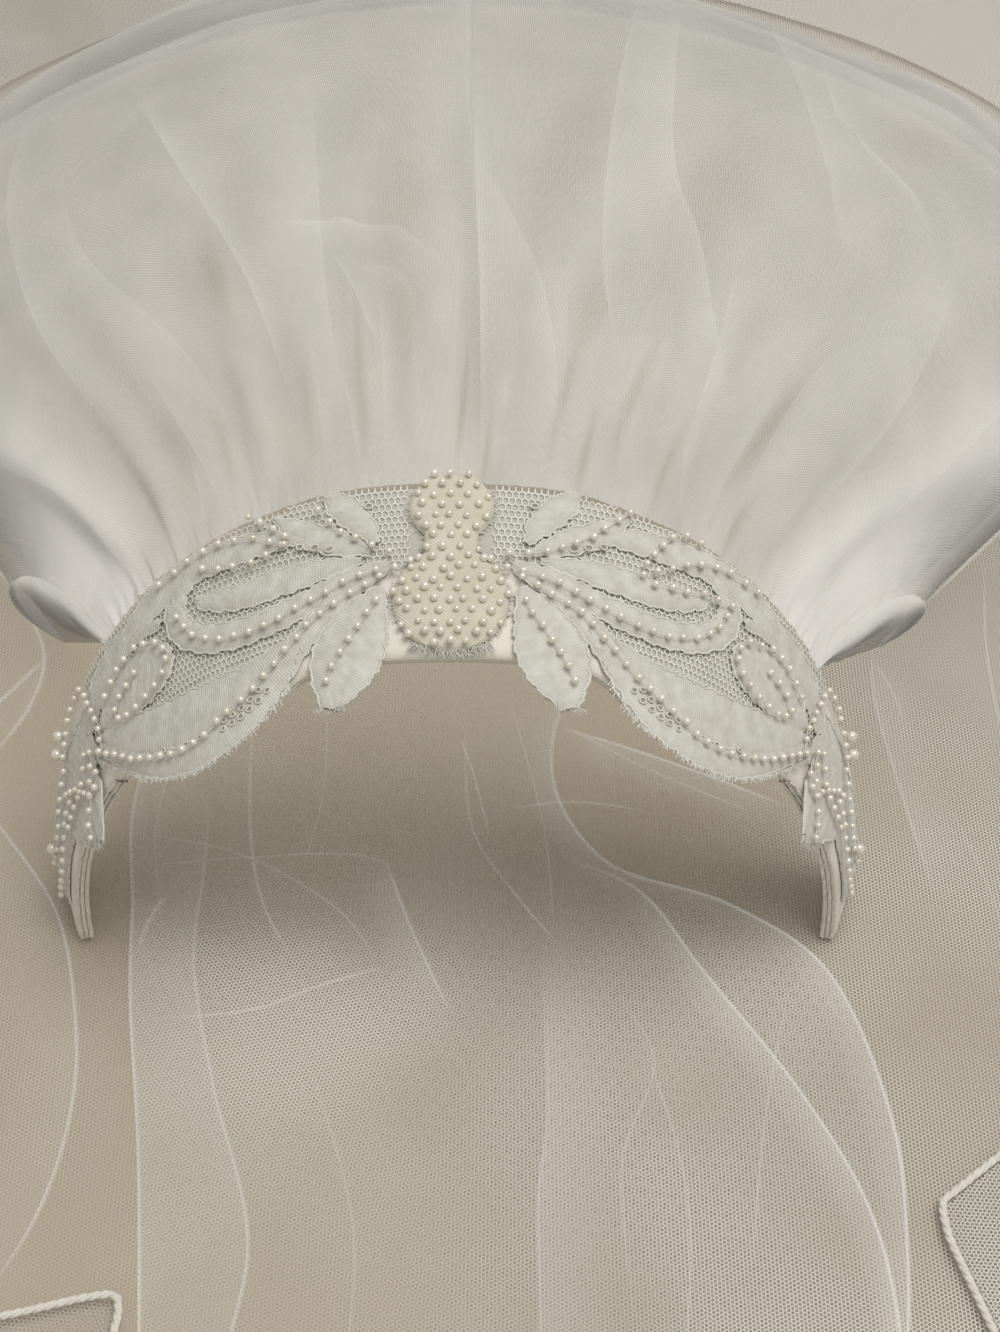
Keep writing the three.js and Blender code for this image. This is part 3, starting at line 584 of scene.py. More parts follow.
LEAF_EDGE = table(
    "along across half",
    (11, 17.8, 0.8), (18, 12.8, 1.6), (25, 7.4, 2.2), (31, 0.6, 2.6), (38, -5.4, 2.9), (46, -8.2, 2.9),
    (54, -8.2, 2.8), (62, -5, 2.6), (70, 1.4, 2.3), (77, 8, 1.4),
)
LEAF_FILL = table(
    "along across half",
    (29, 6.6, 0.3), (36, 1.6, 3.2), (44, -0.6, 4.6), (53, -0.4, 5), (62, 1.4, 4.8), (70, 5.4, 3.4), (76.5, 9.6, 0.4),
)
SCROLL_BAND = table(
    "along across half",
    (10.5, 18.4, 0.8), (18, 15.8, 1.9), (26, 12.6, 2.4), (34, 11, 2.7), (42, 11.6, 2.8), (48.6, 15.4, 2.7),
    (50.6, 20.4, 2.4), (48.6, 24.6, 1.8), (43.5, 26.4, 0.6),
)
SCROLL_INNER = table(
    "along across half",
    (15, 19.6, 0.5), (22, 19, 2), (30, 18.4, 2.8), (37, 18.2, 2.6), (43, 19.6, 1.8), (46, 21.6, 0.5),
)
UPPER_BAND = table(
    "along across half",
    (23, 25.6, 0.4), (29, 27, 2), (37, 27.6, 2.8), (45, 27.8, 3), (53, 26.4, 3), (60, 24.2, 2.4), (66, 22, 0.6),
)
OUTER_CLOTH = table(
    "along across half",
    (54, 20.4, 0.6), (60, 22.6, 2.4), (67, 21.6, 3.2), (73, 19, 3.4), (78, 16.4, 2.8), (80, 13, 1),
)
PAISLEY_BODY = table(
    "along across half",
    (52.2, 13.2, 0.6), (55, 13.2, 4.2), (60, 13, 5.8), (66, 12.4, 5.6), (71, 11.8, 4.2), (75.4, 11, 0.8),
)
SMALL_LEAF = table("along across half", (12.5, 22.6, 0.5), (15, 27, 2.3), (18.4, 31.4, 2.4), (20.6, 34, 0.8))
UPPER_PETAL = table("along across half", (13.5, 20.8, 0.5), (19, 23.6, 2.4), (24.6, 27, 2.3), (29.6, 31.6, 0.5))
PETAL_BODY = table(
    "along across half",
    (12, 13.6, 0.8), (14.8, 8.6, 4.2), (17.6, 2.6, 6.4), (20, -3.2, 5.4), (22, -8.8, 1.6),
)
LACE_EYES = [
    (33.5, -2.4, 0.6), (35.4, -3.8, 0.65), (37.4, -4.9, 0.6), (39.4, -5.7, 0.65), (41.4, -6.2, 0.6), (43.4, -6.6, 0.5),
    (35.2, -1.8, 0.55), (37, -3.1, 0.6), (39, -4.1, 0.6), (41, -4.7, 0.55), (43, -5.1, 0.5),
    (20.4, 22.6, 0.75), (22.9, 23.4, 0.7), (25.4, 24.2, 0.6), (13.6, 30.2, 0.6), (58, -4.4, 0.5),
]
LEG_STRIP = table(
    "along across half",
    (79, 13, 6), (88, 11, 7), (97, 9.6, 7), (108, 9.2, 6.6), (121, 9.2, 6.4),
)
LEG_TAB = {"start": 79.6, "end": 98, "across": 8}


def ribbon_grid(line, steps, across, phase):
    """Places on a ribbon of lace in the band's measure, with the distance along it and across it."""
    t, q = grid(steps, across)
    q = 2 * q - 1
    s, w, half = (evenly(line, name, t) for name in ("along", "across", "half"))
    ds, dw = np.gradient(s, axis=0), np.gradient(w, axis=0)
    length = np.maximum(np.hypot(ds, dw), 1e-6)
    run = np.concatenate([np.zeros((1, across + 1)), np.cumsum(length[1:], 0)])
    wobble = 0.2 * np.sin(1.9 * run + phase + q) + 0.14 * np.sin(4.3 * run + 2 * q) + 0.1 * np.sin(7.9 * run + phase)
    edge = half + np.minimum(half, 1) * wobble
    return s - dw / length * edge * q, w + ds / length * edge * q, q, run, edge


def ribbon(parts, cords, side, line, lift, crown, veins=0.12, steps=54, across=12, phase=0.0):
    s, w, q, run, half = ribbon_grid(line, steps, across, phase)
    vein = np.cos(2 * math.pi * (run / 2.1 - 1.6 * np.abs(q)) + phase)
    grain = 0.07 * np.sin(3.1 * run + 5 * q) * np.sin(1.3 * run - 7 * q + phase)
    shape = (1 - q ** 2) ** 0.6
    height = lift - 0.25 + shape * (0.25 + 0.7 * crown + veins * vein + grain)
    flat = np.stack([run, q * half], -1)
    parts.add(band_point(side * s, w, height), quads(steps, across), flat, turned=side < 0)
    for edge in (0, across):
        centre = band_point(side * s[:, edge], w[:, edge], lift - 0.1)
        points, faces = sweep(centre, band_normal(side * s[:, edge]), EDGE_CORD_RADIUS, 5)
        cords.add(points, faces, np.repeat(np.stack([run[:, 0], q[:, edge]], -1), 5, 0))


def net_ground(parts, side, inside, lift, start, end, low, high):
    """Six-sided net over a stretch of the band, where inside says so."""
    rows = np.arange(math.floor(low / NET_PITCH_ACROSS), math.ceil(high / NET_PITCH_ACROSS))
    columns = np.arange(math.floor(start / NET_PITCH_ALONG), math.ceil(end / NET_PITCH_ALONG))
    c, r = np.meshgrid(columns, rows, indexing="ij")
    s = (c + 0.5 * (r % 2)) * NET_PITCH_ALONG
    w = r * NET_PITCH_ACROSS
    third = NET_PITCH_ACROSS / 3
    half = NET_PITCH_ALONG / 2
    legs = [
        ((0, third), (half, 2 * third)),
        ((0, third), (-half, 2 * third)),
        ((0, -third), (0, third)),
    ]
    starts, ends = [], []
    for (s0, w0), (s1, w1) in legs:
        keep = inside(s + (s0 + s1) / 2, w + (w0 + w1) / 2)
        starts.append(np.stack([s[keep] + s0, w[keep] + w0], -1))
        ends.append(np.stack([s[keep] + s1, w[keep] + w1], -1))
    starts, ends = np.concatenate(starts), np.concatenate(ends)
    a = band_point(side * starts[:, 0], starts[:, 1], lift)
    b = band_point(side * ends[:, 0], ends[:, 1], lift)
    points, faces = threads(a, b, band_normal(side * starts[:, 0]), NET_RADIUS)
    parts.add(points, faces)


def frayed(parts, side, line_s, line_w, lift, count, length, seed):
    """Short loose threads along an edge."""
    rng = np.random.default_rng(seed)
    t = rng.uniform(0, len(line_s) - 1.001, count)
    i = t.astype(int)
    s = lerp(line_s[i], line_s[i + 1], t - i)
    w = lerp(line_w[i], line_w[i + 1], t - i)
    a = band_point(side * s, w + 0.3, lift + rng.uniform(-0.2, 0.3, count))
    lean = rng.uniform(-0.9, 0.9, count)
    reach = length * rng.uniform(0.3, 1, count)
    b = band_point(side * (s + lean * reach), w - reach * (1 - 0.4 * abs(lean)), lift + rng.uniform(-0.5, 0.6, count))
    points, faces = threads(a, b, band_normal(side * s), 0.09)
    parts.add(points, faces)


def frayed_out(parts, side, line_s, line_w, lift, count, length, seed):
    """Short loose threads that point outward from a line along the band."""
    rng = np.random.default_rng(seed)
    t = rng.uniform(0, len(line_s) - 1.001, count)
    i = t.astype(int)
    s = lerp(line_s[i], line_s[i + 1], t - i)
    w = lerp(line_w[i], line_w[i + 1], t - i)
    reach = length * rng.uniform(0.3, 1, count)
    a = band_point(side * (s - 0.3), w, lift)
    b = band_point(side * (s + reach), w + rng.uniform(-0.6, 0.6, count), lift - 0.2)
    points, faces = threads(a, b, band_normal(side * s), 0.08)
    parts.add(points, faces)


def lace_holes(rims, shade_discs, side, places):
    """Small eyes in the lace, each with a worked rim and a dark disc inside that paints the shade seen through the eye.
    """
    turn = 2 * math.pi * np.arange(16) / 16
    for s, w, radius in places:
        ring_s, ring_w = s + radius * np.cos(turn), w + 0.85 * radius * np.sin(turn)
        line = band_point(side * ring_s, ring_w, 1.3)
        points, faces = sweep(line, band_normal(side * ring_s), 0.17, 5, True)
        rims.add(points, faces)
        points = np.concatenate([band_point(side * ring_s, ring_w, 1.25), band_point(side * s, w, 1.15)[None]])
        spokes = np.stack([np.arange(16), (np.arange(16) + 1) % 16, np.full(16, 16)], -1)
        shade_discs.add(points, spokes)


def net_painted_shade(side, name):
    """A darker sheet under the net ground: painted shade for the gap between the net and the band."""
    parts = Parts()
    i, j = grid(50, 20)
    s = lerp(2.5, SPRAY_END, i)
    low = np.maximum(smooth(SPRAY_EDGES, "low", s) + 1.5, band_front(s) + 1)
    w = lerp(low, band_back(s) - 1, j)
    parts.add(band_point(side * s, w, 0.1 + 0 * s), quads(50, 20), np.stack([s, w], -1), turned=side < 0)
    parts.make(f"lace_shade_{name}", lace_shade, "lace")


def in_spray(s, w):
    above = w > smooth(SPRAY_EDGES, "low", s) + 0.5
    away = s > medallion_half(np.clip(w, MEDALLION_START, MEDALLION_END)) + 0.9
    return above & (w < band_back(s) - 0.5) & (s < SPRAY_END) & away


def medallion_half(across):
    def lobe(one):
        return np.sqrt(np.maximum(0, one["radius"] ** 2 - (across - one["across"]) ** 2))

    between = (across > LOBE_LOW["across"]) & (across < LOBE_TOP["across"])
    waist = np.where(between, WAIST_HALF_WIDTH, 1)
    return np.maximum(np.maximum(lobe(LOBE_LOW), lobe(LOBE_TOP)), waist)


def lace_spray(side, name):
    cloth, cords, net = Parts(), Parts(), Parts()
    net_ground(net, side, in_spray, 0.4, 8, 80, -12, 35)
    ribbon(cloth, cords, side, LEAF_EDGE, 0.7, 0.55, veins=0.08, steps=90)
    ribbon(cloth, cords, side, LEAF_FILL, 0.75, 0.75, veins=0.14, steps=70, across=16, phase=1)
    ribbon(cloth, cords, side, SCROLL_BAND, 0.85, 0.7, steps=90, phase=2)
    ribbon(cloth, cords, side, SCROLL_INNER, 0.75, 0.6, phase=3)
    ribbon(cloth, cords, side, UPPER_BAND, 0.75, 0.65, steps=70, phase=4)
    ribbon(cloth, cords, side, OUTER_CLOTH, 0.7, 0.5, phase=5)
    ribbon(cloth, cords, side, PAISLEY_BODY, 0.8, 0.7, across=16, phase=6)
    ribbon(cloth, cords, side, SMALL_LEAF, 0.8, 0.6, steps=30, phase=7)
    ribbon(cloth, cords, side, UPPER_PETAL, 0.85, 0.6, steps=36, phase=8)
    low_s = np.linspace(22, 79, 80)
    low_w = smooth(SPRAY_EDGES, "low", low_s)
    frayed(net, side, low_s, low_w, 0.8, 320, 1.1, 11 + side)
    holes = Parts()
    lace_holes(cords, holes, side, LACE_EYES)
    holes.make(f"lace_eye_shade_{name}", lace_hole, "lace")
    cloth.make(f"lace_cloth_{name}", lace_cloth, "lace", [f"lace_spray_{name}"])
    cords.make(f"lace_cords_{name}", lace_thread, "lace")
    net.make(f"lace_net_{name}", lace_net, "lace", rounded=False)
    net_painted_shade(side, name)


def lace_petal(side, name):
    cloth, cords = Parts(), Parts()
    ribbon(cloth, cords, side, PETAL_BODY, 1.0, 0.75, veins=0.1, steps=50, across=16, phase=side)
    ribbon(cloth, cords, side, {**PETAL_BODY, "half": PETAL_BODY["half"] * 0.96}, 0.4, 0.2, steps=30, across=6)
    tip_s = np.linspace(19, 25, 20)
    frayed(cords, side, tip_s, np.full(20, -8.6), 1.0, 40, 1.4, 21 + side)
    cloth.make(f"petal_cloth_{name}", lace_cloth, "lace", [f"lace_petal_{name}"])
    cords.make(f"petal_cords_{name}", lace_thread, "lace")


def lace_leg(side, name):
    cloth, cords = Parts(), Parts()
    ribbon(cloth, cords, side, LEG_STRIP, 0.5, 0.6, veins=0.16, steps=60, across=14, phase=side)
    i, j = grid(60, 14)
    s = lerp(LEG_TAB["start"], LEG_TAB["end"], i)
    low = smooth(LEG_LACE_EDGES, "low", s) + 0.35 * np.sin(3.1 * s + side) * np.sin(1.3 * s)
    w = lerp(low, LEG_TAB["across"], j)
    lift = 0.45 + 0.4 * np.minimum(1, 6 * j) + 0.12 * np.sin(2.2 * s + 1.5 * w) * np.sin(1.6 * w)
    cloth.add(band_point(side * s, w, lift), quads(60, 14), np.stack([s, w], -1), turned=side < 0)
    points, faces = sweep(band_point(side * s[:, 0], w[:, 0], 0.55), band_normal(side * s[:, 0]), EDGE_CORD_RADIUS, 5)
    cords.add(points, faces)
    frayed(cords, side, s[12:40, 0], w[12:40, 0] + 0.4, 0.7, 90, 1.5, 31 + side)
    cloth.make(f"leg_cloth_{name}", lace_cloth, "lace", [f"lace_leg_{name}"])
    cords.make(f"leg_cords_{name}", lace_thread, "lace")


def medallion():
    parts, cords = Parts(), Parts()
    i, j = grid(60, 30)
    across = lerp(MEDALLION_START, MEDALLION_END, i)
    q = 2 * j - 1
    s = q * medallion_half(across)
    crown = 1.1 * (1 - np.abs(q) ** 3.2) * np.minimum(1, 7 * np.minimum(i, 1 - i))
    dimple = 0.16 * np.cos(2 * math.pi * s / 2.85) * np.cos(2 * math.pi * across / 2.2)
    lift = GAP + 0.95 + crown + dimple * (1 - q ** 4)
    lift = np.where((np.abs(q) == 1) | (i == 0) | (i == 1), GAP + 0.1, lift)
    parts.add(band_point(s, across, lift), quads(60, 30), np.stack([s, across], -1))
    ragged = np.linspace(-7, 7, 30)
    for seed, lift in ((5, 0.6), (6, 1.0)):
        frayed(cords, 1, ragged, 0.7 + 0.03 * ragged ** 2, lift, 90, 2.2, seed)
    rim = np.linspace(2.5, 33, 40)
    for side in (-1, 1):
        frayed_out(cords, side, medallion_half(rim), rim, 0.8, 70, 0.9, 8 + side)
    piece = parts.make("medallion_ground", medallion_cloth, "medallion", ["lace_medallion"])
    cords.make("medallion_edge", lace_thread, "lace")
    return piece


# Strings of pearls, from the middle outward, in the band's measure

LEAF_STRING = table(
    "along across",
    (6.8, 18.2), (14, 14.2), (22, 10), (28.6, 4.4), (34.6, -0.6), (41.6, -4.2), (49, -6.8), (56, -6.4),
    (63, -3.6), (70.4, 1.4), (75.6, 5.6),
)
SCROLL_STRING = table(
    "along across",
    (9.4, 17), (15.6, 15.8), (23.8, 12.6), (32.4, 10), (39, 10), (43.8, 11.8), (47.4, 15), (49.2, 19),
)
PETAL_STRING = table("along across", (12.6, 10.6), (15.4, 6.4), (18.8, 1.8), (22, -3.6))
PAISLEY_RING = table(
    "along across",
    (70, 14.4), (65, 17.6), (60, 18.3), (55.2, 16.8), (52.6, 13), (55, 9.4), (60, 7.4), (65, 6.9), (68.4, 9),
    (66, 12), (61, 13.6),
)
LEAF_END = table(
    "along across", (75.6, 5.6), (74.8, 9.4), (75.4, 13.4), (76.6, 17.4), (78.4, 22), (82.6, 21), (88, 18), (91, 15.8),
)
LEG_ROWS = table("along across", (79.6, 8.2), (80.4, 5), (82.2, 1.6), (84.6, -1.2), (86.2, -3.8), (86.6, -6.4))
LEG_MIDDLE = table("along across", (81.6, 9.4), (84.4, 6), (86.2, 4.4), (89, 3.8), (92.6, 3.6), (96.6, 3.4))
LEG_INNER = table("along across", (78.6, 3), (82, 0.4), (84.6, 2.6), (89, 6.6), (93.4, 8.4))
LEG_LOWER = table("along across", (92.6, 6.4), (97.4, 5.4), (103, 3.4), (108, 2.4), (113, 2.6), (118, 3.4))
LEG_OUTER = table("along across", (92, 13.4), (97, 10.6), (103, 8.2), (108, 7.2), (114, 8.4))
UPPER_LEFT = [
    table("along across", (51.6, 27.6), (46.4, 28.6), (41.2, 29.4), (36.2, 29), (31.8, 27.4), (27.8, 24.8)),
    table("along across", (42.8, 26), (38.2, 24), (32.8, 23.4), (28.2, 25)),
    table("along across", (33.2, 32.8), (30.6, 30), (27.6, 26.8)),
    table("along across", (21.4, 30.4), (19, 26.4), (15.2, 23), (10.4, 20.4)),
]
UPPER_RIGHT = [
    table("along across", (9.8, 19.6), (15, 20.6), (20, 23.2), (24.2, 26.6), (29.2, 32)),
    table("along across", (32.6, 22.8), (35.4, 27.6), (38, 30.8), (41.8, 31.2)),
    table("along across", (32.4, 20.4), (36.8, 23), (41, 26.2), (45.6, 27.8), (54.6, 27.6)),
    table("along across", (34.6, 19.4), (39.6, 20), (44.4, 21), (50, 21.4)),
]


def string_places(line, spacing):
    """Evenly spaced places along a string."""
    t = np.linspace(0, 1, 400)
    s, w = evenly(line, "along", t), evenly(line, "across", t)
    run = np.concatenate([[0], np.cumsum(np.hypot(np.diff(s), np.diff(w)))])
    count = max(2, round(run[-1] / spacing) + 1)
    at = np.linspace(0, run[-1], count)
    return np.interp(at, run, s), np.interp(at, run, w)


def pearls_on_side(side, name, upper):
    rng = np.random.default_rng(40 + side)
    beads, strings_thread = Parts(), Parts()
    strings = [
        (LEAF_STRING, 1.75, 1), (SCROLL_STRING, 1.95, 1), (PETAL_STRING, 2.2, 1), (PAISLEY_RING, 1.9, 0.92),
        (LEAF_END, 1.5, 0.85), (LEG_ROWS, 1.5, 0.95), (LEG_INNER, 1.5, 0.85), (LEG_LOWER, 1.5, 0.95),
        (LEG_OUTER, 1.6, 1.05), (LEG_MIDDLE, 1.5, 0.95),
    ]
    strings += [(line, 1.9, 1) for line in upper]
    for line, lift, close in strings:
        s, w = string_places(line, PEARL_SPACING * close)
        s = s + rng.normal(0, 0.14, len(s))
        w = w + rng.normal(0, 0.14, len(w))
        radii = PEARL_RADIUS * rng.uniform(0.9, 1.1, len(s))
        points, faces = spheres(band_point(side * s, w, lift + radii * 0.6), radii)
        beads.add(points, faces)
        thread_s, thread_w = string_places(line, 0.6)
        centre = band_point(side * thread_s, thread_w, lift + 0.1)
        points, faces = sweep(centre, band_normal(side * thread_s), BEADING_THREAD, 4)
        strings_thread.add(points, faces)
    large = [(89, 19.4), (91.8, 17.2), (110, 8.6)]
    centres = np.array([band_point(side * s, w, 1.4 + LARGE_PEARL_RADIUS) for s, w in large])
    points, faces = spheres(centres, LARGE_PEARL_RADIUS)
    beads.add(points, faces)
    strings_thread.make(f"beading_{name}", lace_thread, "lace")
    return beads.make(f"pearls_{name}", pearl, "pearl")


def pearls_on_medallion():
    rng = np.random.default_rng(7)
    places = []
    pitch_across, pitch_along = 2.12, 2.8
    for row in range(17):
        w = MEDALLION_START + 0.9 + row * pitch_across
        half = float(medallion_half(np.array(w))) - 0.1
        shift = 0.5 * (row % 2)
        for column in range(-5, 6):
            s = (column + shift) * pitch_along
            if abs(s) <= half:
                places.append((s, w))
    s, w = np.array(places).T
    s = s + rng.normal(0, 0.26, len(s))
    w = w + rng.normal(0, 0.24, len(w))
    radii = PEARL_RADIUS * rng.uniform(0.85, 1.2, len(s))
    share = np.minimum(1, np.abs(s) / medallion_half(w))
    lift = GAP + 1 + 1.1 * (1 - share ** 3.2) + radii * 0.6
    points, faces = spheres(band_point(s, w, lift), radii)
    beads = Parts()
    beads.add(points, faces)
    return beads.make("pearls_medallion", pearl, "pearl")


# Pouf: layers of gathered net from the seam on the band's back edge to the rim on the tiers


def pouf_surface(u, v):
    s = lerp(SEAM_LEFT, SEAM_RIGHT, u)
    seam = band_point(s, band_back(s) + GAP, -0.6)
    above = band_point(s, band_back(s) + GAP, 0.4) - seam
    rim = np.stack([evenly(POUF_RIM, "x", u), evenly(POUF_RIM, "y", u) - HEAD_FORWARD, 0 * u + HEAD_LIFT], -1)
    to_side = ((2 * u - 1) ** 2)[..., None]
    away = unit(rim - np.array([0, POUF_CENTRE_BACK - HEAD_FORWARD, HEAD_LIFT]))
    rise = seam + above * lerp(26, 20, to_side)
    rise[..., 1] += lerp(62, 26, to_side)[..., 0]
    fall = rim + away * lerp(-26, 20, to_side)
    fall[..., 2] = lerp(52, 34, to_side)[..., 0] + HEAD_LIFT
    v = v[..., None]
    return seam * (1 - v) ** 3 + 3 * rise * v * (1 - v) ** 2 + 3 * fall * v * v * (1 - v) + rim * v ** 3


def pouf_normal(u, v):
    step = 0.004
    across = pouf_surface(np.minimum(u + step, 1), v) - pouf_surface(np.maximum(u - step, 0), v)
    down = pouf_surface(u, np.minimum(v + step, 1)) - pouf_surface(u, np.maximum(v - step, 0))
    return unit(np.cross(across, down))


# Larger folds of the pouf: where each leaves the seam, how far it slants, where it runs from and to,
# its height and its half width as a share of the seam
POUF_FOLDS = table(
    "u slant start end height half",
    (0.08, -0.02, 0.02, 1.0, 2.6, 0.03), (0.15, 0.05, 0.0, 0.8, 2, 0.025), (0.21, -0.02, 0.05, 1.0, 3, 0.03),
    (0.27, 0.04, 0.0, 0.7, 2, 0.022), (0.33, 0.05, 0.05, 1.0, 2.4, 0.03), (0.39, 0.03, 0.0, 0.5, 1.6, 0.016),
    (0.44, -0.02, 0.02, 0.9, 2.2, 0.024), (0.508, 0.0, 0.0, 0.95, 2.4, 0.014), (0.56, 0.02, 0.02, 0.6, 1.8, 0.018),
    (0.62, -0.03, 0.0, 1.0, 2.4, 0.026), (0.68, -0.05, 0.03, 0.9, 2.2, 0.02), (0.74, -0.04, 0.0, 0.7, 2, 0.02),
    (0.79, -0.06, 0.02, 1.0, 3, 0.03), (0.85, -0.02, 0.0, 0.8, 2, 0.025), (0.92, 0.02, 0.02, 1.0, 2.4, 0.03),
)


def pouf_relief(u, v, phase):
    """Height of the gathers and folds over the plain pouf."""
    gathers = np.zeros_like(u)
    for count, height, fade in ((34, 0.55, 0.06), (61, 0.35, 0.045), (97, 0.3, 0.03)):
        uneven = u + 0.004 * np.sin(23 * u + phase) + 0.002 * np.sin(71 * u + 2 * phase)
        bend = 0.35 * np.sin(9 * v + 13 * u + phase)
        size = 0.7 + 0.3 * np.sin(37 * u + count + phase)
        gathers += size * height * (0.5 + 0.5 * np.cos(2 * math.pi * count * uneven + bend + phase)) * np.exp(-v / fade)
    folds = np.zeros_like(u)
    for k in range(len(POUF_FOLDS["u"])):
        at, slant, start, end, height, half = (POUF_FOLDS[c][k] for c in POUF_FOLDS)
        centre = at + slant * v + 0.006 * np.sin(7 * v + 2 * k + phase)
        width = half * (0.5 + 0.9 * v)
        off = np.abs(u - centre) / width
        run = smoothstep(v, start, start + 0.12) * (1 - smoothstep(v, end - 0.3, end))
        folds += height * run * np.exp(-off ** 1.9)
    broad = 2.0 * np.sin(9 * u + 3 * v + phase) * np.sin(5 * v + phase) + 1.0 * np.sin(17 * u - 6 * v + 2 * phase)
    inside = smoothstep(np.minimum(u, 1 - u), 0, 0.05) * (1 - smoothstep(v, 0.86, 1))
    return gathers * smoothstep(np.minimum(u, 1 - u), -0.01, 0.02) + (folds + broad * smoothstep(v, 0.05, 0.4)) * inside


# Thin patches of the pouf where the surface shows through: place, reach and how much thinner
POUF_PATCHES = table(
    "u v reachU reachV thinner",
    (0.608, 0.2, 0.018, 0.05, 0.45), (0.672, 0.36, 0.026, 0.1, 0.4), (0.444, 0.31, 0.02, 0.09, 0.42),
    (0.442, 0.18, 0.016, 0.04, 0.42), (0.29, 0.28, 0.009, 0.05, 0.6), (0.572, 0.38, 0.022, 0.1, 0.42),
    (0.594, 0.1, 0.005, 0.05, 0.6), (0.625, 0.05, 0.005, 0.04, 0.5), (0.661, 0.12, 0.006, 0.05, 0.55),
    (0.714, 0.07, 0.005, 0.05, 0.55), (0.389, 0.14, 0.004, 0.05, 0.5), (0.386, 0.07, 0.005, 0.03, 0.4),
    (0.492, 0.09, 0.004, 0.05, 0.6), (0.519, 0.04, 0.004, 0.04, 0.5), (0.79, 0.16, 0.007, 0.08, 0.6),
    (0.811, 0.05, 0.006, 0.04, 0.5), (0.1, 0.55, 0.03, 0.1, 0.45), (0.24, 0.12, 0.006, 0.05, 0.4),
    (0.33, 0.1, 0.005, 0.05, 0.4), (0.9, 0.3, 0.03, 0.12, 0.2), (0.745, 0.58, 0.02, 0.05, 0.35),
)


def pouf_density(u, v, phase):
    density = 1.0 + 0.15 * np.exp(-v / 0.05) + 0.05 * np.sin(31 * u + 4 * v + phase) + 0.04 * np.sin(57 * u - 3 * v)
    # Painted light: denser towards the pouf's flanks and far edge, which face away from the light, so the net there
    # takes its lighter colour and their shade is painted out.
    density += 0.7 * smoothstep(np.abs(2 * u - 1), 0.66, 0.92) + 0.5 * smoothstep(v, 0.6, 0.85)
    for k in range(len(POUF_PATCHES["u"])):
        at, down, wide, tall, thinner = (POUF_PATCHES[c][k] for c in POUF_PATCHES)
        off = np.hypot((u - at - 0.1 * (v - down)) / wide, (v - down) / tall)
        density -= thinner * np.exp(-off ** 2.6)
    return density


def pouf_place(u, v, phase, inset):
    points = pouf_surface(u, v)
    relief = pouf_relief(u, v, phase)
    points = points + pouf_normal(u, v) * (relief - inset * smoothstep(v, 0, 0.15))[..., None]
    points[..., 2] = np.maximum(points[..., 2], HEAD_LIFT + 0.2 + 0.6 * np.abs(np.sin(90 * u)))
    return points


def pouf_layer(name, columns, rows, phase, inset, cover, nodes=()):
    u, j = grid(columns, rows)
    v = j ** 1.25
    points = pouf_place(u, v, phase, inset)
    flat = np.stack([lerp(-300, 300, u), 330 * v], -1) + 7 * phase
    parts = Parts()
    density = np.maximum(cover * pouf_density(u, v, phase), 0.15)
    parts.add(points, quads(columns, rows), flat, density.ravel())
    return parts.make(name, tulle_thick, "tulle", nodes)


def strip(parts, centre, sideways, up, half, height, strength, across=8):
    """A crisp fold: a narrow doubled ridge of net along a line of points."""
    q = np.linspace(-1, 1, across + 1)
    count = len(centre)
    ends = np.minimum(1, 5 * np.minimum(np.linspace(0, 1, count), np.linspace(1, 0, count)))[:, None]
    rise = height * ends * (1 - q[None] ** 2) ** 1.5
    lean = 0.35 * rise
    points = centre[:, None] + sideways[:, None] * (half * q[None] + lean)[..., None] + up[:, None] * rise[..., None]
    density = strength * ends * (1 - np.abs(q[None]) ** 1.6)
    density = np.maximum(density, 0)
    run = np.concatenate([[0], np.cumsum(np.linalg.norm(np.diff(centre, axis=0), axis=1))])
    flat = np.stack([run[:, None] + 0 * q[None], half * q[None] + 0 * run[:, None]], -1)
    parts.add(points, quads(count - 1, across), flat, density.ravel(), turned=True)


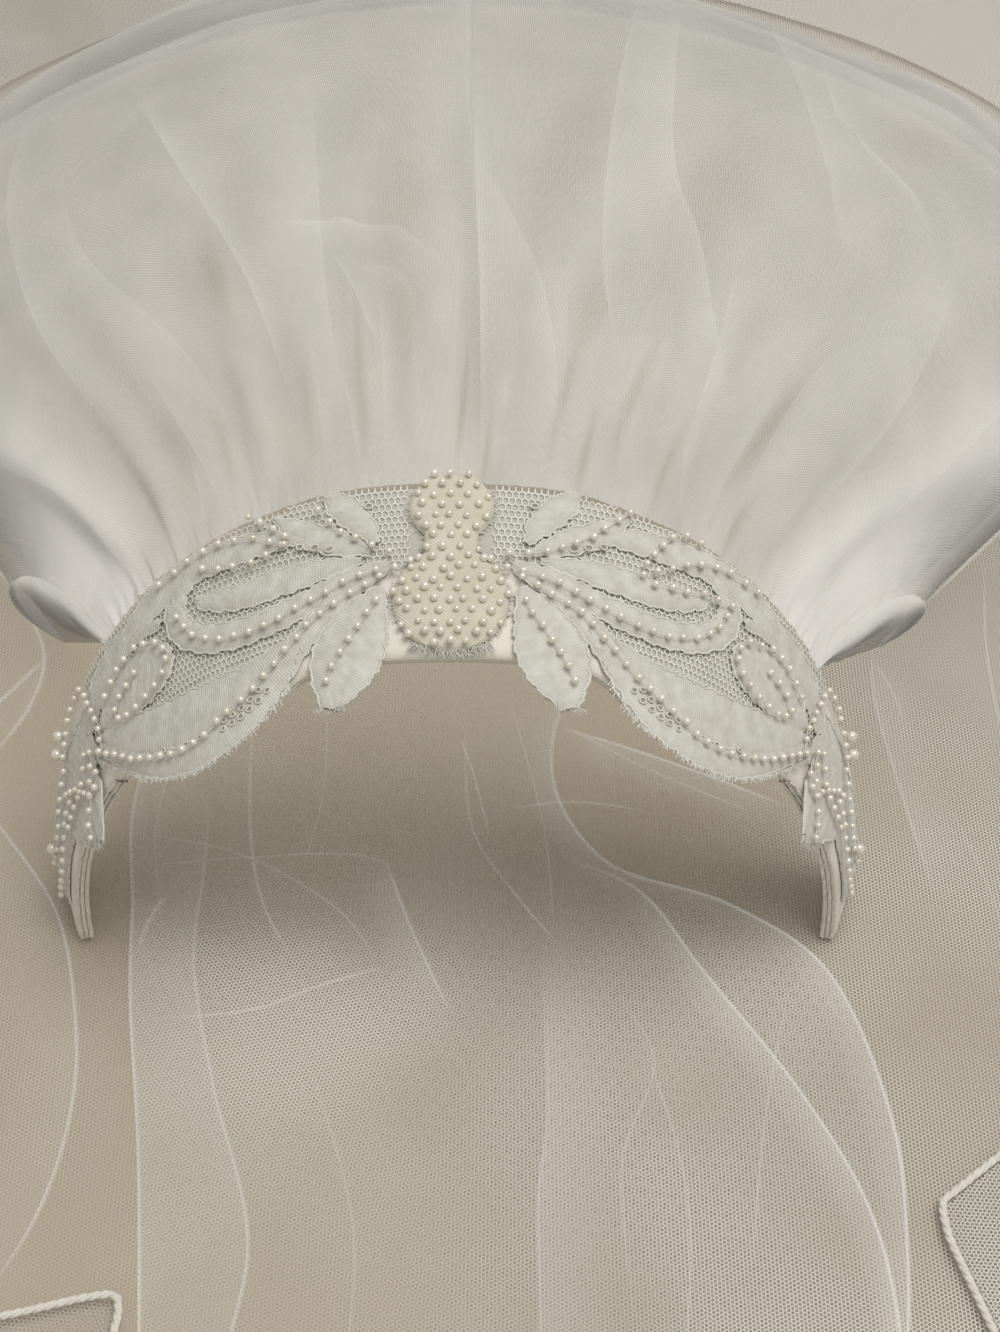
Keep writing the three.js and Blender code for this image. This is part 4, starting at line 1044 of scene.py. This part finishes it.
# Loose folds that lie over the pouf, in its own measure: the line of the fold, how far and which way
# its cloth runs from there, and how much it hides
POUF_FLAPS = [
    (table("u v", (0.5, 0.8), (0.5, 0.6), (0.5, 0.42), (0.503, 0.3)), (-0.035, 0), 0.5),
    (table("u v", (0.5, 0.5), (0.503, 0.31), (0.508, 0.17), (0.51, 0.04)), (0.045, 0), 0.5),
    (table("u v", (0.508, 0.34), (0.544, 0.25), (0.578, 0.15), (0.592, 0.07)), (-0.045, 0), 0.4),
    (table("u v", (0.586, 0.7), (0.592, 0.4), (0.608, 0.23), (0.639, 0.14)), (0.035, 0), 0.45),
    (table("u v", (0.603, 0.7), (0.633, 0.39), (0.69, 0.26), (0.753, 0.14)), (-0.045, 0), 0.45),
    (table("u v", (0.672, 0.7), (0.706, 0.54), (0.755, 0.5), (0.785, 0.5)), (0.03, -0.03), 0.5),
    (table("u v", (0.64, 0.75), (0.664, 0.62), (0.722, 0.44), (0.781, 0.34)), (0.05, 0), 0.3),
    (table("u v", (0.35, 0.3), (0.367, 0.3), (0.414, 0.28), (0.49, 0.225)), (0, -0.035), 0.5),
    (table("u v", (0.38, 0.26), (0.395, 0.2), (0.41, 0.14)), (0.02, 0), 0.4),
    (table("u v", (0.4, 0.24), (0.43, 0.22), (0.452, 0.18)), (0, -0.02), 0.35),
    (table("u v", (0.305, 0.6), (0.302, 0.42), (0.312, 0.25), (0.318, 0.08)), (0.05, 0), 0.45),
    (table("u v", (0.4, 0.5), (0.386, 0.36), (0.37, 0.2), (0.37, 0.08)), (-0.04, 0), 0.35),
    (table("u v", (0.27, 0.7), (0.2, 0.5), (0.16, 0.34), (0.15, 0.15)), (0.05, 0), 0.35),
    (table("u v", (0.24, 0.5), (0.22, 0.36), (0.245, 0.2), (0.26, 0.06)), (-0.035, 0), 0.3),
    (table("u v", (0.808, 0.52), (0.842, 0.4), (0.872, 0.27), (0.88, 0.1)), (-0.05, 0), 0.3),
    (table("u v", (0.87, 0.7), (0.91, 0.5), (0.93, 0.3), (0.935, 0.1)), (-0.05, 0), 0.3),
    (table("u v", (0.07, 0.8), (0.06, 0.5), (0.07, 0.3), (0.09, 0.1)), (0.05, 0), 0.3),
    (table("u v", (0.7, 0.3), (0.716, 0.2), (0.725, 0.06)), (0.03, 0), 0.35),
    (table("u v", (0.8, 0.3), (0.795, 0.2), (0.8, 0.05)), (0.03, 0), 0.35),
]
SEAM_FLAPS = 26


def flap(parts, line, shift, strength, phase, lift=0.4, steps=60, across=10):
    """A fold of net on the pouf: dense along its line, thinning out to the side."""
    t, q = grid(steps, across)
    u = evenly(line, "u", t) + shift[0] * q * (1 + 0.3 * np.sin(3 * t + phase))
    v = evenly(line, "v", t) + shift[1] * q
    u, v = np.clip(u, 0.002, 0.998), np.clip(v, 0.002, 0.998)
    points = pouf_place(u, v, 0.0, 0)
    points = points + pouf_normal(u, v) * (lift + 0.6 * np.exp(-((q / 0.16) ** 2)) * np.sin(math.pi * t))[..., None]
    ends = np.minimum(1, 4 * np.minimum(t, 1 - t))
    density = strength * ends * (0.75 * (1 - q) ** 1.5 + 0.3 * np.exp(-((q / 0.09) ** 2)))
    flat = np.stack([290 * u, 300 * v], -1) + 17 * phase
    parts.add(points, quads(steps, across), flat, density.ravel())


def pouf_flaps():
    parts = Parts()
    for k, (line, shift, strength) in enumerate(POUF_FLAPS):
        flap(parts, line, shift, strength, k)
    rng = np.random.default_rng(12)
    for k in range(SEAM_FLAPS):
        u = 0.03 + 0.94 * (k + rng.uniform(-0.3, 0.3)) / (SEAM_FLAPS - 1)
        u = min(max(u, 0.02), 0.98)
        slant = rng.uniform(-0.02, 0.02)
        end = rng.uniform(0.1, 0.26)
        line = table("u v", (u, 0.012), (u + 0.4 * slant, 0.5 * end), (u + slant, end))
        width = rng.choice([-1, 1]) * rng.uniform(0.012, 0.024)
        flap(parts, line, (width, 0), rng.uniform(0.12, 0.3), k, 0.25 + 0.1 * (k % 3), 40, 8)
    return parts.make("pouf_folds", tulle_fold, "tulle")


def pouf_rim():
    """The doubled edge that rolls under at the pouf's two front corners."""
    parts = Parts()
    t = np.linspace(0, 1, 120)
    for side in (0, 1):
        for inset, half in ((0.01, 1.3), (0.055, 0.9)):
            u = abs(side - np.clip(t * 0.3 - 0.03, inset / 3, 1))
            v = np.clip(t * 9, 0.02, 1 - inset)
            centre = pouf_place(u, v, 0.0, 0)
            up = pouf_normal(u, v)
            sideways = unit(np.cross(np.gradient(centre, axis=0), up))
            strip(parts, centre + 0.2 * up, sideways, up, half, 0.8, 0.7)
    return parts.make("pouf_rim", tulle_fold, "tulle")


def pouf_sides():
    """The pouf's cloth turned under at each end of the seam, down to the straight edge below."""
    parts = Parts()
    for side in (0, 1):
        for inset, phase in ((0.0, 1.0), (3.0, 2.3)):
            t, q = grid(70, 16)
            edge = pouf_place(side + 0 * t, t ** 1.25, 0.0, inset)
            start, end = edge[:1], edge[-1:]
            chord = lerp(start, end, t[..., None] ** 1.25)
            out = (2 * side - 1) * (5 - inset) * np.sin(math.pi * q ** 0.7) * np.sin(math.pi * t)
            wrinkle = 0.8 * np.sin(26 * t + 3 * q + phase) * q * (1 - t)
            points = lerp(edge, chord, q[..., None])
            points[..., 0] += out + wrinkle
            points[..., 2] = np.maximum(points[..., 2], HEAD_LIFT + 0.3)
            flat = np.stack([110 * t, 60 * q], -1) + 31 * side + 9 * phase
            density = (1.7 - 0.25 * q) * np.ones_like(t)
            parts.add(points, quads(70, 16), flat, density.ravel())
    return parts.make("pouf_sides", tulle_thick, "tulle")


# Tiers


def long_edge(turn):
    power = 2 / LONG_CORNER_POWER
    c, s = np.cos(turn), np.sin(turn)
    wave = (1 - np.cos(HEM_WAVES * turn)) / 2
    scale = 1 - HEM_WAVE * wave * np.sin(2 * turn) ** 2
    x = scale * LONG_HALF_WIDTH * np.sign(c) * np.abs(c) ** power
    y = scale * LONG_HALF_DEPTH * np.sign(s) * np.abs(s) ** power
    return x, y


def long_top(turn, share):
    degrees = np.degrees(turn)
    height = np.full_like(share, TIER_WALL)
    for k in range(len(LONG_FOLDS["turn"])):
        at, tall, start, reach = (LONG_FOLDS[c][k] for c in LONG_FOLDS)
        off = np.abs((degrees - at + 180) % 360 - 180)
        grown = smoothstep(share, start, min(start + 0.25, 1))
        height = height + tall * grown * np.exp(-((off / reach) ** 2))
    return height


def long_tier():
    spokes, rings = 360, 110
    turn, share = np.meshgrid(2 * math.pi * np.arange(spokes) / spokes, np.linspace(0.001, 1, rings + 1), indexing="ij")
    edge_x, edge_y = long_edge(turn)
    centre_y = FOLD_CENTRE_BACK - HEAD_FORWARD
    x, y = edge_x * share, lerp(centre_y, edge_y, share)
    ripple = 0.35 * np.sin(x / 17 + 2 * np.sin(y / 31)) * np.cos(y / 23) + 0.2 * np.sin(x / 7 + y / 9)
    z = long_top(turn, share) - 0.35 + 0.5 * ripple
    parts = Parts()
    faces = quads(spokes, rings, closed=True)
    # Painted light: spread thins the net to the left and towards the viewer, where the light falls off, and thickens it
    # to the right.
    density = (1 + 0.12 * np.sin(x / 21) * np.sin(y / 35)) * spread(x, y)
    # Painted shade: the net is thinner inside the arch, so more of the darker floor shows there.
    density = density * (1 - 0.45 * under_arch(x, y))
    parts.add(np.stack([x, y, z], -1), faces, np.stack([x, y], -1), density.ravel(), turned=True)
    return parts.make("tulle_long_tier", tulle_thin, "tulle", ["long_tier"])


# The doubled fold of the long tier that comes forward under the arch: its left and right edges on
# the surface, measured from the headband's front
FOLD_LEFT = table(
    "x y", (-58, 96), (-69, 41), (-67, 9), (-65, -15), (-60, -49), (-56, -87), (-52, -130), (-44, -190), (-38, -228),
)
FOLD_RIGHT = table(
    "x y", (34, 96), (20, 50), (30, 21), (56, 9), (75, -8), (84, -41), (84, -70), (80, -100), (70, -150), (60, -228),
)

# Creases of the tiers on the surface, measured from the headband's front: points, half width,
# height and how much they hide
TIER_CREASES = [
    (FOLD_LEFT, 0.5, 1.2, 0.8),
    (FOLD_RIGHT, 0.6, 1.5, 1.0),
    (table("x y", (-53, 40), (-53, 17), (-53, -6), (-47, -34), (-38, -66), (-40, -90), (-46, -130)), 0.5, 1.2, 0.7),
    (table("x y", (-105, 40), (-97, 29), (-82, 6), (-75, -22), (-74, -43), (-78, -64), (-88, -85)), 0.5, 1.2, 0.7),
    (table("x y", (-60, -19), (-41, -17), (-27, -11), (-13, -6)), 0.5, 1.0, 0.7),
    (table("x y", (-15, 20), (-9, 2), (-1, -18)), 0.5, 1.0, 0.8),
    (table("x y", (-46, 60), (-44, 28), (-40, 9), (-32, -7)), 0.5, 1.0, 0.7),
    (table("x y", (0, 54), (3, 44), (7, 25)), 0.4, 1.0, 0.7),
    (table("x y", (9, 34), (24, 36), (39, 34)), 0.4, 1.0, 0.7),
    (table("x y", (22, 57), (39, 50), (54, 43), (70, 35)), 0.5, 1.2, 0.9),
    (table("x y", (17, 0), (18, -38), (16, -60), (16, -90), (14, -150)), 0.4, 1.0, 0.5),
    (table("x y", (21, 22), (38, 12), (50, -8), (67, -36), (78, -62), (81, -90), (80, -130)), 0.6, 1.5, 1.0),
    (table("x y", (-69, 28), (-46, 22), (-26, 9), (-15, -6)), 0.4, 0.9, 0.5),
    (table("x y", (93, 82), (92, 64), (95, 38), (99, 10)), 0.5, 1.2, 0.5),
    (table("x y", (122, 107), (119, 82), (119, 58), (123, 30)), 0.5, 1.2, 0.5),
    (table("x y", (-108, 104), (-95, 82), (-95, 64), (-103, 46)), 0.6, 1.4, 0.7),
    (table("x y", (-92, 80), (-104, 62), (-118, 48)), 0.6, 1.4, 0.8),
    (table("x y", (104, 40), (112, 0), (108, -40)), 0.4, 1.0, 0.3),
    (table("x y", (36, -20), (44, -60), (40, -110)), 0.4, 1.0, 0.4),
    (table("x y", (-28, -30), (-18, -70), (-22, -120)), 0.4, 1.0, 0.3),
    (table("x y", (-60, 12), (-63, 5), (-65, -4)), 0.8, 1.2, 0.6),
    (table("x y", (-67, 19), (-46, 21), (-23, 22), (-12, 18)), 0.4, 0.9, 0.45),
    (table("x y", (1, 58), (3, 29), (13, 10), (23, -4)), 0.4, 1.0, 0.6),
    (table("x y", (31, -11), (39, -29), (32, -52), (33, -84)), 0.4, 1.0, 0.35),
    (table("x y", (67, -11), (60, -41), (55, -74)), 0.4, 1.0, 0.4),
    (table("x y", (93, 77), (96, 68), (98, 58)), 0.5, 1.2, 0.5),
    (table("x y", (22, 58), (41, 45), (63, 33)), 0.4, 1.1, 0.6),
    (table("x y", (-60, 60), (-64, 30), (-60, 0)), 0.3, 0.9, 0.35),
    (table("x y", (-30, 70), (-29, 40), (-33, 14)), 0.3, 0.9, 0.35),
    (table("x y", (10, 70), (18, 30), (20, 0)), 0.35, 0.9, 0.4),
]

CREASE_COVER = 1.2

# Doubled bands of the tiers beside their creases: the line, how far the band runs from it and how
# much it hides
TIER_BANDS = [
    (FOLD_LEFT, (13, 0), 0.14),
    (table("x y", (-53, 40), (-53, 17), (-53, -6), (-47, -34), (-38, -66), (-40, -90), (-46, -130)), (-12, 0), 0.17),
    (FOLD_RIGHT, (-6, -3), 0.3),
    (table("x y", (21, 22), (38, 12), (50, -8), (67, -36), (78, -62), (81, -90), (80, -130)), (-5, -5), 0.4),
    (table("x y", (17, 20), (18, -38), (16, -60), (16, -90), (14, -150)), (14, 0), 0.25),
    (table("x y", (-105, 40), (-97, 29), (-82, 6), (-75, -22), (-74, -43), (-78, -64), (-88, -85)), (-14, 0), 0.12),
    (table("x y", (-15, 20), (-9, 2), (-1, -18)), (-8, 0), 0.3),
    (table("x y", (22, 57), (39, 50), (54, 43), (70, 35)), (-3, -9), 0.3),
    (table("x y", (-108, 104), (-95, 82), (-95, 64), (-103, 46)), (-12, -4), 0.15),
    (table("x y", (93, 82), (92, 64), (95, 38), (99, 10)), (10, 0), 0.2),
]


def spread(x, y):
    """How dense the tiers' net is drawn: thinner to the left and towards the viewer and denser to the right, a painted
    light that falls off to the left and towards the viewer; closer at the back.
    """
    # Painted light: thinner net shows more of the darker floor, denser net shows the lighter net colour.
    right = smoothstep(x, -110, 110)
    sideways = lerp(0.6, 1.3, right)
    forward = lerp(lerp(0.65, 1.15, right), 1, smoothstep(y + HEAD_FORWARD, -110, -30))
    return sideways * forward * (1 + 1.4 * smoothstep(y, 0, 120))


def under_arch(x, y):
    """How far a place on the surface is inside the arch, from 0 to 1."""
    forward = y + HEAD_FORWARD
    return (1 - smoothstep(np.abs(x), 55, 85)) * smoothstep(forward, -12, 25) * (1 - smoothstep(forward, 90, 160))


def on_floor(line, t, z):
    x, y = evenly(line, "x", t), evenly(line, "y", t)
    return np.stack([x, y - HEAD_FORWARD, np.broadcast_to(z, x.shape)], -1)


def tier_creases():
    parts = Parts()
    thin = 0.45
    up = np.array([0, 0, 1.0])
    for line, half, height, strength in TIER_CREASES:
        centre = on_floor(line, np.linspace(0, 1, 90), TIER_WALL + 0.1)
        sideways = unit(np.cross(np.gradient(centre, axis=0), up))
        strip(parts, centre, sideways, np.broadcast_to(up, centre.shape), half, thin * height, CREASE_COVER * strength)
    for line, shift, strength in TIER_BANDS:
        t, q = grid(80, 10)
        points = on_floor(line, t, 0)
        points[..., 0] += shift[0] * q
        points[..., 1] += shift[1] * q
        points[..., 2] = TIER_WALL + 0.9 + 0.25 * np.sin(points[..., 1] / 11) * q
        ends = np.minimum(1, 5 * np.minimum(t, 1 - t))
        density = strength * ends * (1 - q) ** 0.8
        parts.add(points, quads(80, 10), points[..., :2] * 1.03 + 4, density.ravel())
    rng = np.random.default_rng(3)
    for k in range(34):
        turn = math.radians(20 + 140 * k / 33 + rng.uniform(-2, 2)) if k % 2 else rng.uniform(0, 2 * math.pi)
        share = np.linspace(rng.uniform(0.55, 0.7), rng.uniform(0.85, 0.98), 50)
        bend = turn + 0.05 * np.sin(6 * share + k)
        edge_x, edge_y = long_edge(bend)
        x, y = edge_x * share, lerp(FOLD_CENTRE_BACK - HEAD_FORWARD, edge_y, share)
        centre = np.stack([x, y, long_top(bend, share) + 0.1], -1)
        sideways = unit(np.cross(np.gradient(centre, axis=0), up))
        strip(parts, centre, sideways, np.broadcast_to(up, centre.shape), 0.9, 0.8, 0.6)
    return parts.make("tier_creases", tulle_fold, "tulle")


def front_fold():
    """The doubled part of the long tier between its two folded edges."""
    t, q = grid(150, 70)
    left, right = on_floor(FOLD_LEFT, t, 0), on_floor(FOLD_RIGHT, t, 0)
    points = lerp(left, right, q[..., None])
    x, y = points[..., 0], points[..., 1]
    ripple = 0.4 * np.sin(x / 9 + 1.2 * np.sin(y / 27)) + 0.25 * np.sin(y / 13 + x / 21)
    points[..., 2] = TIER_WALL + 0.45 + ripple * np.minimum(1, 8 * np.minimum(q, 1 - q)) * 0.5
    # Painted light: the net thins towards the viewer, so the near part shows darker, as the light falls off there.
    density = lerp(0.45, 0.8, smoothstep(y + HEAD_FORWARD, -100, -20)) + 0.1 * np.sin(x / 15) * np.sin(y / 19)
    haze = 0.75 * np.exp(-((x + 38) / 42) ** 2 - ((y + HEAD_FORWARD + 14) / 30) ** 2)
    density = (density + haze) * smoothstep(t, 0, 0.08) * (1 - smoothstep(t, 0.94, 1))
    # Painted shade: the net is thinner inside the arch, so more of the darker floor shows there.
    density = density * (1 - 0.45 * under_arch(x, y))
    parts = Parts()
    turned = np.stack([0.96 * x - 0.28 * y, 0.28 * x + 0.96 * y], -1)
    parts.add(points, quads(150, 70), turned, density.ravel())
    return parts.make("tulle_front_fold", tulle_thin, "tulle")


def short_place(u, v):
    """Place on the short tier, whose corners are a little rounded."""
    near = np.minimum(v, 1 - v) / SHORT_CORNER["across"]
    inward = SHORT_CORNER["along"] * (1 - np.sqrt(1 - np.clip(1 - near, 0, 1) ** 2))
    u = lerp(inward, 1 - inward, u)
    x = lerp(evenly(SHORT_TIER, "inX", u), evenly(SHORT_TIER, "outX", u), v)
    y = lerp(evenly(SHORT_TIER, "inY", u), evenly(SHORT_TIER, "outY", u), v)
    return x, y - HEAD_FORWARD


def short_fold(u, v):
    uneven = u + 0.008 * np.sin(19 * u) + 0.005 * np.sin(43 * u + 1)
    wave = (0.5 - 0.5 * np.cos(2 * math.pi * SHORT_FOLDS * uneven)) ** 2
    size = 0.65 + 0.35 * np.sin(29 * u + 1)
    ends = np.minimum(1, 14 * np.minimum(u, 1 - u))
    return SHORT_FOLD_HEIGHT * wave * size * ends * smoothstep(v, 0.08, 0.85)


def short_tier():
    u, v = grid(420, 44)
    x, y = short_place(u, v)
    ripple = 0.3 * np.sin(x / 8 + y / 15) + 0.25 * np.sin(y / 7 - x / 19)
    z = SHORT_UNDERSIDE + TIER_WALL - 0.3 + short_fold(u, v) + 0.4 * ripple
    parts = Parts()
    # Painted light: spread thins the net to the left and towards the viewer, where the light falls off, and thickens it
    # to the right.
    density = (0.95 + 0.15 * np.sin(60 * u + 3 * v) * np.sin(7 * v)) * spread(x, y)
    flat = np.stack([0.9 * x + 0.43 * y, 0.9 * y - 0.43 * x], -1)
    parts.add(np.stack([x, y, z], -1), quads(420, 44), flat, density.ravel(), turned=True)
    return parts.make("tulle_short_tier", tulle_thin, "tulle", ["short_tier"])


def resample(line, spacing, closed):
    if closed:
        line = np.concatenate([line, line[:1]])
    run = np.concatenate([[0], np.cumsum(np.linalg.norm(np.diff(line, axis=0), axis=1))])
    count = round(run[-1] / spacing)
    at = np.linspace(0, run[-1], count + 1)
    if closed:
        at = at[:-1]
    return np.stack([np.interp(at, run, line[:, k]) for k in range(3)], -1), at


def twisted_cord(name, line, closed, strands, nodes):
    """Satin cord of twisted strands along a hem."""
    line, run = resample(line, 1.3, closed)
    if closed:
        tangent = unit(np.roll(line, -1, 0) - np.roll(line, 1, 0))
    else:
        tangent = unit(np.gradient(line, axis=0))
    sideways = unit(np.cross(tangent, np.array([0, 0, 1.0])))
    up = np.cross(sideways, tangent)
    parts = Parts()
    for k in range(strands):
        turns = round(run[-1] / 6)
        turn = 2 * math.pi * (turns * run / run[-1] + k / strands)
        offset = CORD_TWIST * (np.cos(turn)[:, None] * sideways + np.sin(turn)[:, None] * up)
        points, faces = sweep(line + offset, up, STRAND_RADIUS, 5, closed)
        parts.add(points, faces, np.repeat(np.stack([run, 0 * run], -1), 5, 0))
    return parts.make(name, cord_thread, "cord", nodes)


def long_cord():
    turn = 2 * math.pi * np.arange(720) / 720
    x, y = long_edge(turn)
    out = unit(np.stack([x, y], -1)) * 1.7 * CORD_RADIUS
    z = CORD_RADIUS + GAP + 0.9 * (long_top(turn, np.ones_like(turn)) - TIER_WALL)
    line = np.stack([x + out[:, 0], y + out[:, 1], z], -1)
    return twisted_cord("long_hem_cord", line, True, 2, ["long_tier_cord"])


def short_cord():
    """The cord runs round both front corners, from under the pouf to under the pouf."""
    hem = np.linspace(0, 1, 700)
    end = np.linspace(0, 1, 120)
    inner = np.linspace(0.22, 0, 160)
    u = np.concatenate([inner[:-1], 0 * end[:-1], hem, 1 + 0 * end[1:], 1 - inner[::-1][1:]])
    v = np.concatenate([0 * inner[:-1], end[:-1], 1 + 0 * hem, 1 - end[1:], 0 * inner[1:]])
    x, y = short_place(u, v)
    in_x, in_y = short_place(np.clip(u, 0.006, 0.994), np.clip(v, 0.06, 0.94))
    out = unit(np.stack([x - in_x, y - in_y], -1)) * CORD_RADIUS
    z = SHORT_UNDERSIDE + CORD_RADIUS + 0.9 * short_fold(u, v)
    line = np.stack([x + out[:, 0], y + out[:, 1], z], -1)
    return twisted_cord("short_hem_cord", line, False, 3, ["short_tier_cord"])


# Stage


def build_floor():
    parts = Parts()
    size = 4000
    u, v = grid(8, 8)
    points = np.stack([lerp(-size, size, u), lerp(-size, size, v), 0 * u - 0.2], -1)
    mesh = bpy.data.meshes.new("floor")
    mesh.from_pydata((points.reshape(-1, 3) * MM).tolist(), [], quads(8, 8).tolist())
    mesh.materials.append(floor_material())
    floor = bpy.data.objects.new("floor", mesh)
    bpy.context.scene.collection.objects.link(floor)


def build_camera():
    data = bpy.data.cameras.new("camera")
    data.lens = CAMERA_LENS
    data.sensor_width = 36
    data.clip_start = 0.01
    camera = bpy.data.objects.new("camera", data)
    camera.location = tuple(c * MM for c in CAMERA_PLACE)
    camera.rotation_euler = (math.pi / 2 - CAMERA_TILT, 0, 0)
    bpy.context.scene.collection.objects.link(camera)
    bpy.context.scene.camera = camera


def area_light(name, place, target, size, power, colour):
    data = bpy.data.lights.new(name, "AREA")
    data.shape = "SQUARE"
    data.size = size
    data.energy = power
    data.color = colour
    light = bpy.data.objects.new(name, data)
    light.location = place
    direction = np.array(target, float) - np.array(place, float)
    from mathutils import Vector

    light.rotation_mode = "QUATERNION"
    light.rotation_quaternion = Vector(direction).to_track_quat("-Z", "Y")
    bpy.context.scene.collection.objects.link(light)


def build_lights():
    world = bpy.data.worlds.new("world")
    world.use_nodes = True
    back = world.node_tree.nodes["Background"]
    back.inputs["Color"].default_value = (1.0, 0.985, 0.955, 1)
    back.inputs["Strength"].default_value = 0.44
    bpy.context.scene.world = world
    area_light("softbox", (0.3, -0.22, 1.22), (0.02, -0.02, 0), 0.7, 7.7, (1, 0.985, 0.95))


build_floor()
build_camera()
build_lights()
scene = bpy.context.scene
scene.view_settings.view_transform = "Standard"
scene.cycles.transparent_max_bounces = 32
scene.cycles.diffuse_bounces = 3
scene.cycles.use_light_tree = False

band = satin_band()
padding = medallion()
for name, side, upper in (("left", -1, UPPER_LEFT), ("right", 1, UPPER_RIGHT)):
    lace_spray(side, name)
    lace_petal(side, name)
    lace_leg(side, name)
    pearls_on_side(side, name, upper)
pearls_on_medallion()
outer = pouf_layer("tulle_pouf", 420, 110, 0.0, 0.0, 1.0, ["pouf"])
inner = pouf_layer("tulle_pouf_inner", 260, 70, 1.7, 4.5, 1.0)
folds = pouf_flaps()
rim = pouf_rim()
tucks = pouf_sides()
long_net = long_tier()
fold_net = front_fold()
tier_folds = tier_creases()
short_net = short_tier()
long_hem = long_cord()
short_hem = short_cord()

# Folds lie close on other net, and light passes through the pouf, so these throw no shadow of their own
for piece in (outer, inner, tucks, folds, rim, tier_folds, fold_net):
    piece.visible_shadow = False
for piece in (folds, rim, tier_folds):
    piece.visible_diffuse = False
